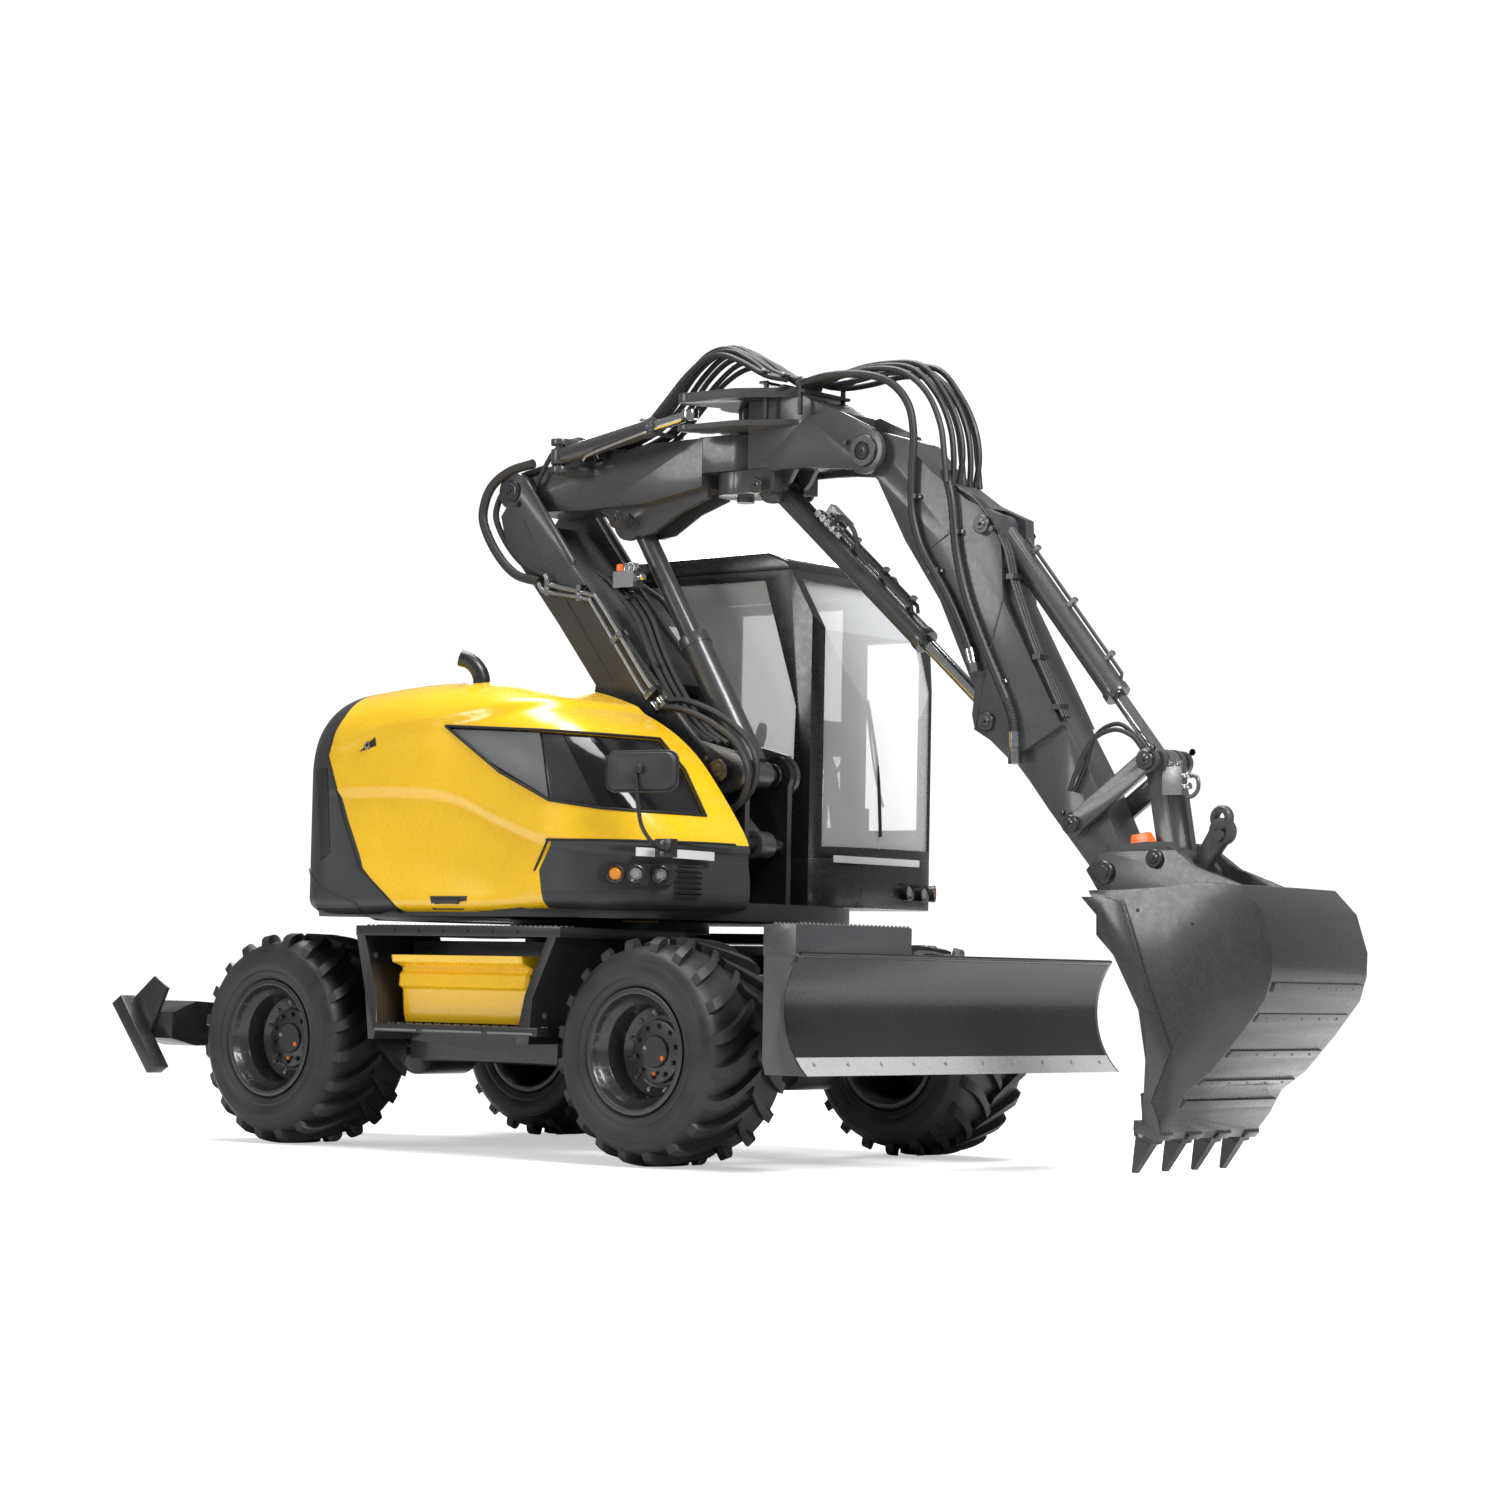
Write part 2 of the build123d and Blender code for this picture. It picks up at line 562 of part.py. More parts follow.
hood_axis = (-325, 2378)
hood_hinges = (-600, -180)
with BuildPart() as turret:
    with Locations((0, 0, 1128.3)):
        Cylinder(ring_radius, deck_z - 1128.3, align=(Align.CENTER, Align.CENTER, Align.MIN))
    with BuildSketch(Plane.XY.offset(deck_z)):
        Circle(1250)
        Rectangle(4000, 2 * (body_y - 60), mode=Mode.INTERSECT)
    extrude(amount=deck_thickness)
    cheeks(((100, 1260), (860, 1990), (1020, 2020), (1060, 1880), (1060, 1260)), bracket_inner, bracket_thick,
           ((*base_pin, 100),))
    cross_pin(base_pin, pin_radius, link_inner + link_thick + 20)
    cross_pin(shove_foot, 37, bracket_inner + 1)
    with BuildSketch(side(-slot_right + 28)):
        Polygon((-700, 1265), (-700, 2280), (-150, 2300), (330, 2230), (700, 2080), (930, 1890), (1190, 1540),
                (1190, 1265), align=None)
    extrude(amount=6, both=True)
    for x in hood_hinges:
        for end in (-1, 1):
            with Locations((x + end * 50, hood_axis[0], hood_axis[1])):
                Box(44, 18, 110, align=(Align.CENTER, Align.CENTER, Align.MAX))
                Cylinder(13, 44, rotation=(0, 90, 0))
        with Locations((x, hood_axis[0], hood_axis[1])):
            Cylinder(5, 140, rotation=(0, 90, 0))
keep(turret.part, "turret_frame")

with BuildPart() as tail:
    add(upper_body(0, body_bottom - 12, 2600))
    add(prism((*aside(tail_line, -hood_gap), (-1700, 1165), (-1700, 2600)), -1300, -slot_right + 6)
        + prism(((-706, 1160), (-706, 2600), (-1700, 2600), (-1700, 1160)), -slot_right + 6, 1300),
        mode=Mode.INTERSECT)
    region(-1300, 0, -1166, 1166, body_bottom - 30, deck_z + deck_thickness, Mode.SUBTRACT)
    region(-706, 0, -1166, 0, body_bottom - 30, 2600, Mode.SUBTRACT)
keep(tail.part, "counterweight")

window = prism(window_outline, -1400, -500)
with BuildPart() as hood:
    add(upper_body(0, body_bottom - 12, 2600))
    add(upper_body(hood_wall, body_bottom - 30, 2600), mode=Mode.SUBTRACT)
    add(prism((*tail_line, *console_line, (1400, 2600)), -1300, -slot_right), mode=Mode.INTERSECT)
    region(-1300, 1400, -1166, 0, body_bottom - 30, deck_z + deck_thickness + hood_gap, Mode.SUBTRACT)
    add(window - upper_body(window_depth, body_bottom, 2600), mode=Mode.SUBTRACT)
    for x in hood_hinges:
        with Locations((x, hood_axis[0] - 50, hood_axis[1] - 8)):
            Box(50, 100, 36, align=(Align.CENTER, Align.CENTER, Align.CENTER))
        with Locations((x, hood_axis[0], hood_axis[1])):
            Cylinder(13, 50, rotation=(0, 90, 0))
            Cylinder(5 + pin_gap, 60, rotation=(0, 90, 0), mode=Mode.SUBTRACT)
keep(hood.part, "engine_hood")

with BuildPart() as panes:
    add(upper_body(6, body_bottom, 2600))
    add(upper_body(window_depth, body_bottom - 10, 2600), mode=Mode.SUBTRACT)
    add(window, mode=Mode.INTERSECT)
keep(panes.part, "hood_window")

with BuildPart() as console:
    add(upper_body(0, body_bottom - 12, 2600))
    add(prism((*aside(console_line[:3], hood_gap), (690, console_top), (1400, console_top), (1400, 1165)),
              -1300, -slot_right), mode=Mode.INTERSECT)
    region(-1300, 1400, -1166, 0, body_bottom - 30, deck_z + deck_thickness, Mode.SUBTRACT)
    region(760, 1160, -1060, -slot_right - 30, 1300, console_top - 60, Mode.SUBTRACT)
keep(console.part, "front_console")

with BuildPart() as left_cover:
    add(upper_body(0, body_bottom, 2100))
    region(-700, -500, slot_left + 20, 1300, deck_z + deck_thickness, 2100)
keep(left_cover.part, "left_cover")

with BuildPart() as engine:
    with Locations((-190, 40 - (body_y + slot_right) / 2, 1640)):
        Box(900, 560, 560)
    with Locations((-190, 40 - (body_y + slot_right) / 2, 1315)):
        Box(700, 400, 90)
keep(engine.part, "engine_block")

# Cab: base, frame, roof, door, glass and seat
cab_wall = 45
cab_back = -420
cab_floor = 1290
cab_sill = 1520
cab_eaves = 3010


def cab_form(inset, low, high):
    """Outer form of the cab, drawn in by an inset."""
    profile = ((cab_back, 1200), (cab_back - 20, 2300), (-300, 3060), (-200, 3100), (780, 3105), (900, 3060),
               (1120, 2700), (1240, 2250), (1255, 1800), (1200, 1200))
    with BuildPart() as form:
        with BuildSketch(Plane.XY.offset(low)):
            with BuildLine():
                Line((cab_back - 60, cab_right + inset), (1080 - inset, cab_right + inset))
                ThreePointArc((1080 - inset, cab_right + inset), (1240 - inset, 700), (1190 - inset, cab_left - 60))
                Line((1190 - inset, cab_left - 60), (1130 - inset, cab_left - inset))
                Line((1130 - inset, cab_left - inset), (cab_back - 60, cab_left - inset))
                Line((cab_back - 60, cab_left - inset), (cab_back - 60, cab_right + inset))
            make_face()
        extrude(amount=high - low)
        with BuildSketch(side(770)) as flat:
            Polygon(*profile, align=None)
            if inset:
                offset(amount=-inset, kind=Kind.INTERSECTION)
        extrude(amount=700, both=True, mode=Mode.INTERSECT)
    return form.part


door_front = 640
door_axis = (-263, cab_left + 14)
hinge_heights = (1640, 2800)
door_back = -260
glass_thick = 8
right_window = ((-230, 1700), (960, 1700), (980, 2300), (760, 2960), (-180, 2960), (-230, 2300))
door_window = ((door_back + 90, 1720), (door_front - 70, 1720), (door_front - 70, 2900), (door_back + 90, 2900))
with BuildPart() as cab_base:
    add(cab_form(0, deck_z + deck_thickness, cab_sill))
    add(cab_form(cab_wall, cab_floor + 30, cab_sill + 10), mode=Mode.SUBTRACT)
    region(door_back - 6, door_front + 6, cab_left - cab_wall - 6, cab_left + 60, 1360, cab_sill + 10, Mode.SUBTRACT)
keep(cab_base.part, "cab_base")

with BuildPart() as cab_frame:
    add(cab_form(0, cab_sill, cab_eaves))
    add(cab_form(cab_wall, cab_sill - 10, cab_eaves + 10), mode=Mode.SUBTRACT)
    with BuildSketch(side(cab_right)):
        Polygon(*right_window, align=None)
    extrude(amount=100, both=True, mode=Mode.SUBTRACT)
    region(door_back - 6, door_front + 6, cab_left - cab_wall - 6, cab_left + 60, 1400, 2960, Mode.SUBTRACT)
    region(900, 1400, cab_right + 60, cab_left - 70, cab_sill + 60, 2960, Mode.SUBTRACT)
    region(door_front + 70, 1090, cab_left - 100, cab_left + 60, 1700, 2700, Mode.SUBTRACT)
    region(-600, -300, cab_right + 90, cab_left - 90, 1900, 2900, Mode.SUBTRACT)
    for z in hinge_heights:
        for up in (-1, 1):
            with Locations((door_axis[0], door_axis[1], z + up * 55)):
                Cylinder(9, 50)
                with Locations((-25, -6, 0)):
                    Box(50, 16, 50)
        with Locations((door_axis[0], door_axis[1], z)):
            Cylinder(4.5, 150)
keep(cab_frame.part, "cab_frame")

with BuildPart() as cab_roof:
    add(cab_form(0, cab_eaves, 3300))
    region(0, 620, cab_right + 130, cab_left - 130, 3000, 3070, Mode.SUBTRACT)
keep(cab_roof.part, "cab_roof")

with BuildPart() as cab_door:
    with BuildSketch(Plane(origin=(0, cab_left, 0), x_dir=(1, 0, 0), z_dir=(0, -1, 0))):
        Polygon((door_back, 1366), (door_front, 1366), (door_front, 2954), (door_back, 2954), align=None)
        Polygon(*door_window, align=None, mode=Mode.SUBTRACT)
    extrude(amount=cab_wall)
    for z in hinge_heights:
        with Locations((door_axis[0], door_axis[1], z)):
            Cylinder(9, 48)
            with Locations((20, -7, 0)):
                Box(40, 14, 48)
            Cylinder(4.5 + pin_gap, 60, mode=Mode.SUBTRACT)
keep(cab_door.part, "cab_door")

with BuildPart() as door_glass:
    with BuildSketch(Plane(origin=(0, cab_left - 20, 0), x_dir=(1, 0, 0), z_dir=(0, -1, 0))):
        Polygon(*door_window, align=None)
    extrude(amount=glass_thick)
keep(door_glass.part, "door_glass")

with BuildPart() as panes:
    add(cab_form(16, cab_sill + 60, 2960))
    add(cab_form(16 + glass_thick, cab_sill + 50, 2970), mode=Mode.SUBTRACT)
    region(900, 1400, cab_right + 60, cab_left - 70, cab_sill + 60, 2960)
    with BuildSketch(side(cab_right + 20)):
        Polygon(*right_window, align=None)
    extrude(amount=glass_thick / 2, both=True)
    with Locations((-385, cab_middle, 2400)):
        Box(glass_thick, cab_left - cab_right - 180, 1000)
keep(panes.part, "cab_glass")

with BuildPart() as seat:
    with Locations((160, cab_middle, 1450)):
        Cylinder(140, 260)
    with Locations((170, cab_middle, 1640)):
        Box(480, 480, 120)
    with Locations((-30, cab_middle, 2020)):
        Box(110, 460, 640)
    with Locations((-40, cab_middle, 2420)):
        Box(90, 260, 160)
keep(seat.part, "cab_seat")

lamp_places = (
    # x, y, z of the lamp's face, direction that it faces in plan (degrees)
    (1011, 130 - body_y, 1390, -52.4), (1085, 192 - body_y, 1390, -43.8), (1156, 286 - body_y, 1390, -34),
    (1222, cab_left - 305, 1364, 6), (1222, cab_left - 176, 1358, 6), (1200, cab_left - 70, 1361, 30),
)
with BuildPart() as lamps:
    for x, y, z, facing in lamp_places:
        with Locations(Location((x, y, z), (0, 90, facing))):
            Cylinder(42, 60)
    add(upper_body(0, body_bottom - 12, 2600), mode=Mode.SUBTRACT)
    add(cab_form(0, deck_z, cab_sill), mode=Mode.SUBTRACT)
keep(lamps.part, "work_lamps")

# Base link, with the cylinder that swings it
link_run = Vector(top_pin[0] - base_pin[0], top_pin[1] - base_pin[1]).normalized()
link_back = Vector(-link_run.Y, link_run.X)


def on_link(s, back):
    """Point at a distance from the base pin along the link and behind its centre line."""
    return (base_pin[0] + s * link_run.X + back * link_back.X, base_pin[1] + s * link_run.Y + back * link_back.Y)


link_outline = ((-640, 3330), (-600, 3185), (-201, 2728), (200, 2240), (900, 1835), (1020, 2035),
                (782, 2097), (365, 2520), (-118, 3066), (-480, 3520))
with BuildPart() as link:
    cheeks(link_outline, link_inner, link_thick, ((*base_pin, 105), (*top_pin, 98)))
    with BuildSketch(side(0)):
        Polygon(on_link(700, 25), on_link(1930, 25), on_link(1930, 85), on_link(700, 85), align=None)
    extrude(amount=link_inner, both=True)
    cheeks((on_link(780, 60), on_link(1010, 60), on_link(925, 285), on_link(835, 285)), 56, 30, ((*shove_eye, 58),))
    stub_pins(shove_eye, 34, 56, 100)
    cross_pin(top_pin, pin_radius, link_inner + link_thick + 20)
    cross_pin(base_pin, pin_radius + pin_gap, link_inner + link_thick + 21, Mode.SUBTRACT)
keep(link.part, "base_link")

barrel, rod = ram((shove_foot[0], 0, shove_foot[1]), (shove_eye[0], 0, shove_eye[1]), (0, 1, 0),
                  (52, 34, 830, 300, 70, 56, 37, 56, 50, 34))
keep(barrel, "link_cylinder")
keep(rod, "link_rod")
barrel, rod = ram((base_pin[0], 0, base_pin[1]), (lift_eye[0], 0, lift_eye[1]), (0, 1, 0),
                  (78, 52, 840, 270, 70, 60, 40, 74, 52, 38))
keep(barrel, "lift_cylinder")
keep(rod, "lift_rod")

# Rear boom, up to the upright offset hinge
knuckle_low = 3470
knuckle_high = 3655
knuckle_radius = 130
rear_outline = ((-560, 3350), (-100, 3335), (0, 3340), (300, 3340), (480, 3366), (700, 3400), (700, 3650),
                (600, 3650), (366, 3650), (20, 3613), (-300, 3590), (-560, 3568))
ear_outline = ((-60, 3345), (60, 3230), (240, 3180), (330, 3195), (500, 3290), (690, 3350), (690, 3500), (0, 3500))
lift_pocket = ((15, 3150), (15, 3345), (100, 3405), (340, 3405), (520, 3330), (520, 3150))
with BuildPart() as rear_boom:
    with BuildSketch(side(0)):
        Polygon(*rear_outline, align=None)
        with Locations(top_pin):
            Circle(108)
    extrude(amount=150, both=True)
    with BuildSketch(side(0)):
        with Locations(top_pin):
            Circle(100)
    extrude(amount=link_inner - side_gap, both=True)
    with BuildSketch(side(0)):
        Polygon(*lift_pocket, align=None)
    extrude(amount=62, both=True, mode=Mode.SUBTRACT)
    cheeks(ear_outline, 62, 28, ((*lift_eye, 100),))
    stub_pins(lift_eye, 38, 62, 120)
    with BuildSketch(Plane.XY.offset(knuckle_low)):
        with Locations((offset_axis_x, 0)):
            Circle(knuckle_radius)
        Polygon((680, -150), (offset_axis_x, -knuckle_radius), (offset_axis_x, knuckle_radius), (680, 150), align=None)
    extrude(amount=knuckle_high - knuckle_low)
    with Locations((offset_axis_x, 0, 3560)):
        Cylinder(45 + pin_gap, 400, mode=Mode.SUBTRACT)
    with BuildSketch(Plane.XY.offset(offset_foot[1] - 84)):
        Polygon((-230, -149), (-190, -330), (-110, -330), (-40, -149), align=None)
        with Locations((offset_foot[0], -300)):
            Circle(50)
    extrude(amount=30)
    with BuildSketch(Plane.XY.offset(offset_foot[1] + 62)):
        Polygon((-230, -149), (-190, -330), (-110, -330), (-40, -149), align=None)
        with Locations((offset_foot[0], -300)):
            Circle(50)
    extrude(amount=30)
    with Locations((-135, -100, offset_foot[1] - 30)):
        Box(190, 110, 122, align=(Align.CENTER, Align.CENTER, Align.MIN))
    with Locations((offset_foot[0], -300, offset_foot[1])):
        Cylinder(25, 184)
    cross_pin(top_pin, pin_radius + pin_gap, link_inner, Mode.SUBTRACT)
keep(rear_boom.part, "rear_boom")

barrel, rod = ram((offset_foot[0], -300, offset_foot[1]), (offset_eye[0], -300, offset_eye[1]), (0, 0, 1),
                  (46, 28, 660, 260, 48, 38, 25, 44, 22, 24))
keep(barrel, "offset_cylinder")
keep(rod, "offset_rod")

# Boom head beyond the offset hinge
head_inner = 170
head_thick = 30
head_outline = ((1175, 3440), (1205, 3514), (1331, 3629), (1413, 3687), (1596, 3716), (1836, 3601),
                (1810, 3396), (1432, 3436), (1291, 3440))
with BuildPart() as head:
    cheeks(head_outline, head_inner, head_thick, ((*stick_pin, 112),))
    with BuildSketch(side(0)):
        Polygon((1020, 3464), (1020, 3840), (1330, 3830), (1560, 3716), (1590, 3500), (1290, 3464), align=None)
    extrude(amount=head_inner, both=True)
    with BuildSketch(Plane.XY.offset(3350)):
        with Locations((offset_axis_x, 0)):
            Circle(140)
        Polygon((offset_axis_x, -125), (1200, -head_inner - 6), (1200, head_inner + 6), (offset_axis_x, 125), align=None)
    extrude(amount=114)
    with Locations((1110, 0, 3415)):
        Box(230, 124, 170, mode=Mode.SUBTRACT)
    cheeks(((1030, 3360), (1030, 3475), (1280, 3475), (1230, 3400), (1160, 3335)), 61, 32, ((*stick_foot, 78),))
    cross_pin(stick_foot, 35, 110)
    for low, high in ((3661, 3688), (3802, 3850)):
        with BuildSketch(Plane.XY.offset(low)):
            with Locations((offset_axis_x, 0)):
                Circle(140)
            with Locations((offset_eye[0], -300)):
                Circle(60)
            Polygon((870, 120), (800, -60), (690, -285), (760, -350), (1060, -330),
                    (1345, -head_inner - 4), (1345, head_inner + 4), (1060, head_inner + 4), align=None)
        extrude(amount=high - low)
    with Locations((offset_axis_x, 0, 3600)):
        Cylinder(45, 560)
    cross_pin(stick_pin, 45, head_inner + head_thick + 20)
keep(head.part, "boom_head")

barrel, rod = ram((stick_foot[0], 0, stick_foot[1]), (stick_eye[0], 0, stick_eye[1]), (0, 1, 0),
                  (60, 35, 1238, 700, 72, 55, 35, 60, 50, 35))
keep(barrel, "stick_cylinder")
keep(rod, "stick_rod")

# Stick, with the ears of its own cylinder and of the bucket cylinder
stick_upper = ((1829, 3350), (2002, 3043), (2220, 2738), (2437, 2295), (2422, 2176), (2441, 2103),
               (2530, 2053), (2648, 1955), (2940, 2110), (2873, 2232), (2594, 2718), (2569, 3127),
               (2378, 3212), (2147, 3375), (1992, 3535))
stick_lower = ((2530, 2053), (2648, 1955), (2737, 1858), (2854, 1715), (3084, 1456), (3150, 1380),
               (3306, 1454), (3106, 1850), (2873, 2232), (2700, 2500))
eye_slot = ((2330, 2050), (2490, 2036), (2575, 2042), (2632, 2095), (2642, 2165), (2500, 2420), (2390, 2520),
            (2200, 2500))
with BuildPart() as stick:
    with BuildSketch(side(0)):
        Polygon(*stick_upper, align=None)
        Polygon((1787, 3385), (1829, 3350), (1992, 3535), (1870, 3580), (1787, 3595), align=None)
        with Locations(stick_pin):
            Circle(105)
    extrude(amount=140, both=True)
    with BuildSketch(side(0)):
        Polygon(*stick_lower, align=None)
        with Locations(bucket_pin):
            Circle(82)
    extrude(amount=104, both=True)
    cross_pin(lever_pin, 66, 120)
    cheeks(((2370, 3200), (2420, 3160), (2560, 3130), (2560, 3040), (2400, 2980)), 71, 69, ((*bucket_foot, 74),))
    with BuildSketch(side(0)):
        Polygon(*eye_slot, align=None)
    extrude(amount=57, both=True, mode=Mode.SUBTRACT)
    with BuildSketch(side(0)):
        with Locations(bucket_foot):
            Circle(92)
        Polygon((2400, 3060), (2800, 2500), (2900, 2700), (2560, 3200), align=None)
    extrude(amount=71, both=True, mode=Mode.SUBTRACT)
    stub_pins(stick_eye, 35, 56, 138)
    cross_pin(bucket_foot, 35, 120)
    cross_pin(stick_pin, 45 + pin_gap, 150, Mode.SUBTRACT)
    cross_pin(bucket_pin, 42 + pin_gap, 150, Mode.SUBTRACT)
    cross_pin(lever_pin, 32 + pin_gap, 150, Mode.SUBTRACT)
keep(stick.part, "stick")

barrel, rod = ram((bucket_foot[0], 0, bucket_foot[1]), (link_pin[0], 0, link_pin[1]), (0, 1, 0),
                  (58, 33, 1080, 400, 65, 45, 35, 58, 45, 35))
keep(barrel, "bucket_cylinder")
keep(rod, "bucket_rod")


def strut(start, end, start_r, end_r, waist):
    """Outline of a straight lever between two pins."""
    run = Vector(end[0] - start[0], end[1] - start[1]).normalized()
    off = Vector(-run.Y, run.X)
    points = []
    for centre, r, hand in ((start, start_r, 1), (end, end_r, 1), (end, end_r, -1), (start, start_r, -1)):
        points.append((centre[0] + hand * waist * r * off.X, centre[1] + hand * waist * r * off.Y))
    return tuple(points)


with BuildPart() as levers:
    cheeks(strut(lever_pin, link_pin, 58, 58, 0.85), 126, 30, ((*lever_pin, 58), (*link_pin, 58)))
    cross_pin(lever_pin, 32, 164)
    cross_pin(link_pin, 34 + pin_gap, 170, Mode.SUBTRACT)
keep(levers.part, "tipping_levers")

with BuildPart() as bucket_link:
    cheeks(strut(link_pin, tool_pin, 60, 58, 0.8), 54, 40, ((*link_pin, 60), (*tool_pin, 58)))
    cross_pin(tool_pin, 58, 100)
    cross_pin(tool_pin, 34, 101, Mode.SUBTRACT)
    with Locations((link_pin[0] + 18, 0, link_pin[1] - 90)):
        Box(50, 110, 34)
    stub_pins(link_pin, 34, 54, 164)
keep(bucket_link.part, "bucket_link")

# Quick hitch and bucket
hitch_outline = ((3150, 1400), (3165, 1490), (3240, 1540), (3420, 1560), (3540, 1560), (3600, 1500),
                 (3650, 1440), (3650, 1385), (3480, 1360), (3200, 1335))
with BuildPart() as hitch:
    cheeks(hitch_outline, 110, 40, ((*bucket_pin, 85), (*tool_pin, 75)))
    with BuildSketch(side(0)):
        Polygon((3335, 1395), (3640, 1410), (3650, 1352), (3480, 1339), (3300, 1337), align=None)
    extrude(amount=112, both=True)
    with BuildSketch(side(0)):
        Polygon((3560, 1390), (3640, 1400), (3800, 1600), (3700, 1640), (3600, 1480), align=None)
        with Locations((3745, 1610)):
            Circle(62)
        with Locations((3745, 1610)):
            Circle(30, mode=Mode.SUBTRACT)
    extrude(amount=22, both=True)
    cross_pin(tool_pin, 112, 106, Mode.SUBTRACT)
    cross_pin(bucket_pin, 42, 158)
    stub_pins(tool_pin, 36, 106, 158)
keep(hitch.part, "quick_hitch")

bucket_half = 410
bucket_side = ((3290, 1330), (3344, 1217), (3345, 1127), (3439, 1037), (3577, 793), (3618, 570),
               (3610, 392), (3601, 280), (3668, 216), (3760, 330), (3820, 435), (3949, 527), (4102, 694),
               (4227, 850), (4261, 959), (4265, 1068), (4207, 1242), (4094, 1352), (3886, 1366),
               (3700, 1345), (3480, 1332))
bucket_inside = ((3640, 262), (3700, 300), (3790, 440), (3930, 550), (4080, 712), (4200, 862), (4233, 960),
                 (4237, 1062), (4184, 1225), (4084, 1322), (3886, 1336), (3700, 1318), (3480, 1305),
                 (3100, 1305), (3100, 262))
ear_line = ((3130, 1430), (3208, 1513), (3617, 1519), (3725, 1445), (3963, 1359), (3900, 1340),
            (3330, 1310), (3200, 1330))
tooth_line = ((3548, 300), (3660, 262), (3672, 216), (3560, 62), (3520, 62), (3530, 150), (3545, 255))
adapter_line = ((3590, 420), (3625, 430), (3690, 300), (3700, 235), (3640, 170), (3560, 170), (3545, 235), (3600, 300))
wear_strips = (
    # x, z on the outside of the shell, slope of the strip (degrees about y)
    (4250, 905, 17), (4165, 772, 32), (4026, 610, 45), (3885, 480, 60), (3790, 380, 40),
)
cutter_line = ((3258, 1300), (3344, 1217), (3345, 1127), (3439, 1037), (3577, 793), (3618, 570), (3610, 392),
               (3650, 380), (3749, 619), (3600, 960), (3484, 1277), (3380, 1300))
with BuildPart() as bucket:
    with BuildSketch(side(0)):
        Polygon(*bucket_side, align=None)
    extrude(amount=bucket_half, both=True)
    with BuildSketch(side(0)):
        Polygon(*bucket_inside, align=None)
    extrude(amount=bucket_half - 28, both=True, mode=Mode.SUBTRACT)
    cheeks(ear_line, 158, 40)
    for y in (-365, -122, 122, 365):
        with BuildSketch(side(y)):
            Polygon(*tooth_line, align=None)
        extrude(amount=40, both=True)
        with BuildSketch(side(y)):
            Polygon(*adapter_line, align=None)
        extrude(amount=52, both=True)
    for x, z, angle in wear_strips:
        with Locations(Location((x, 0, z), (0, angle, 0))):
            Box(16, 2 * bucket_half - 60, 46)
    cheeks(cutter_line, bucket_half, 14)
keep(bucket.part, "bucket")

# Small things on the upper body
with BuildPart() as exhaust:
    with BuildLine() as route:
        Polyline((-60, -940, 2300), (-60, -940, 2400), (-75, -955, 2450), (-120, -985, 2480))
    with BuildSketch(Plane(origin=(-60, -940, 2300), z_dir=(0, 0, 1))):
        Circle(42)
    sweep(transition=Transition.ROUND)
    add(upper_body(0, body_bottom, 2600), mode=Mode.SUBTRACT)
keep(exhaust.part, "exhaust")

with BuildPart() as mirror:
    with Locations(Location((1160, -956, 1525), (0, 0, -35.3))):
        Box(40, 60, 120)
    with Locations(Location((1134, -938, 1575), (0, 0, -35.3))):
        Box(100, 40, 30)
    with Locations((1150, -985, 1680)):
        Cylinder(13, 400)
    with Locations(Location((1140, -1050, 1880), (0, 0, 58))):
        Box(350, 40, 195)
    with Locations((1152, -970, 1560)):
        Box(50, 60, 40)
    add(upper_body(0, body_bottom, 2600), mode=Mode.SUBTRACT)
keep(mirror.part, "mirror")

# Main hose, over the boom and in an arch above the offset hinge
hose_route = ((-470, 3652), (-395, 3656), (-112, 3708), (163, 3786), (333, 3840), (498, 3989), (662, 4096),
              (813, 4110), (953, 4042), (1050, 3965))
hose_y = -15
hose_radius = 24
hose_clamps = (1, 2, 3, 4)
with BuildPart() as hose:
    with BuildLine() as route:
        Spline(*[(x, hose_y, z) for x, z in hose_route])
    with BuildSketch(Plane(origin=route.line @ 0, z_dir=route.line % 0)):
        Circle(hose_radius)
    sweep()
    for index in hose_clamps:
        x, z = hose_route[index]
        with Locations((x, hose_y, z - 110)):
            Box(50, 76, 134, align=(Align.CENTER, Align.CENTER, Align.MIN))
    add(rear_boom.part, mode=Mode.SUBTRACT)
keep(hose.part, "main_hose")

low_x = min(part.bounding_box().min.X for name, part in made)
high_x = max(part.bounding_box().max.X for name, part in made)
shift = -(low_x + high_x) / 2
print("shift", shift)
for name, part in made:
    part = part.moved(Location((shift, 0, 0)))
    part.label = name
    export_step(part, f"parts/{name}.step")
    print(name, len(part.solids()), round(part.volume / 1e6, 2))
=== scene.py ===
import bmesh
import bpy
import json
from math import atan2, cos, exp, pi, radians, sin, sqrt
from mathutils import Matrix, Vector


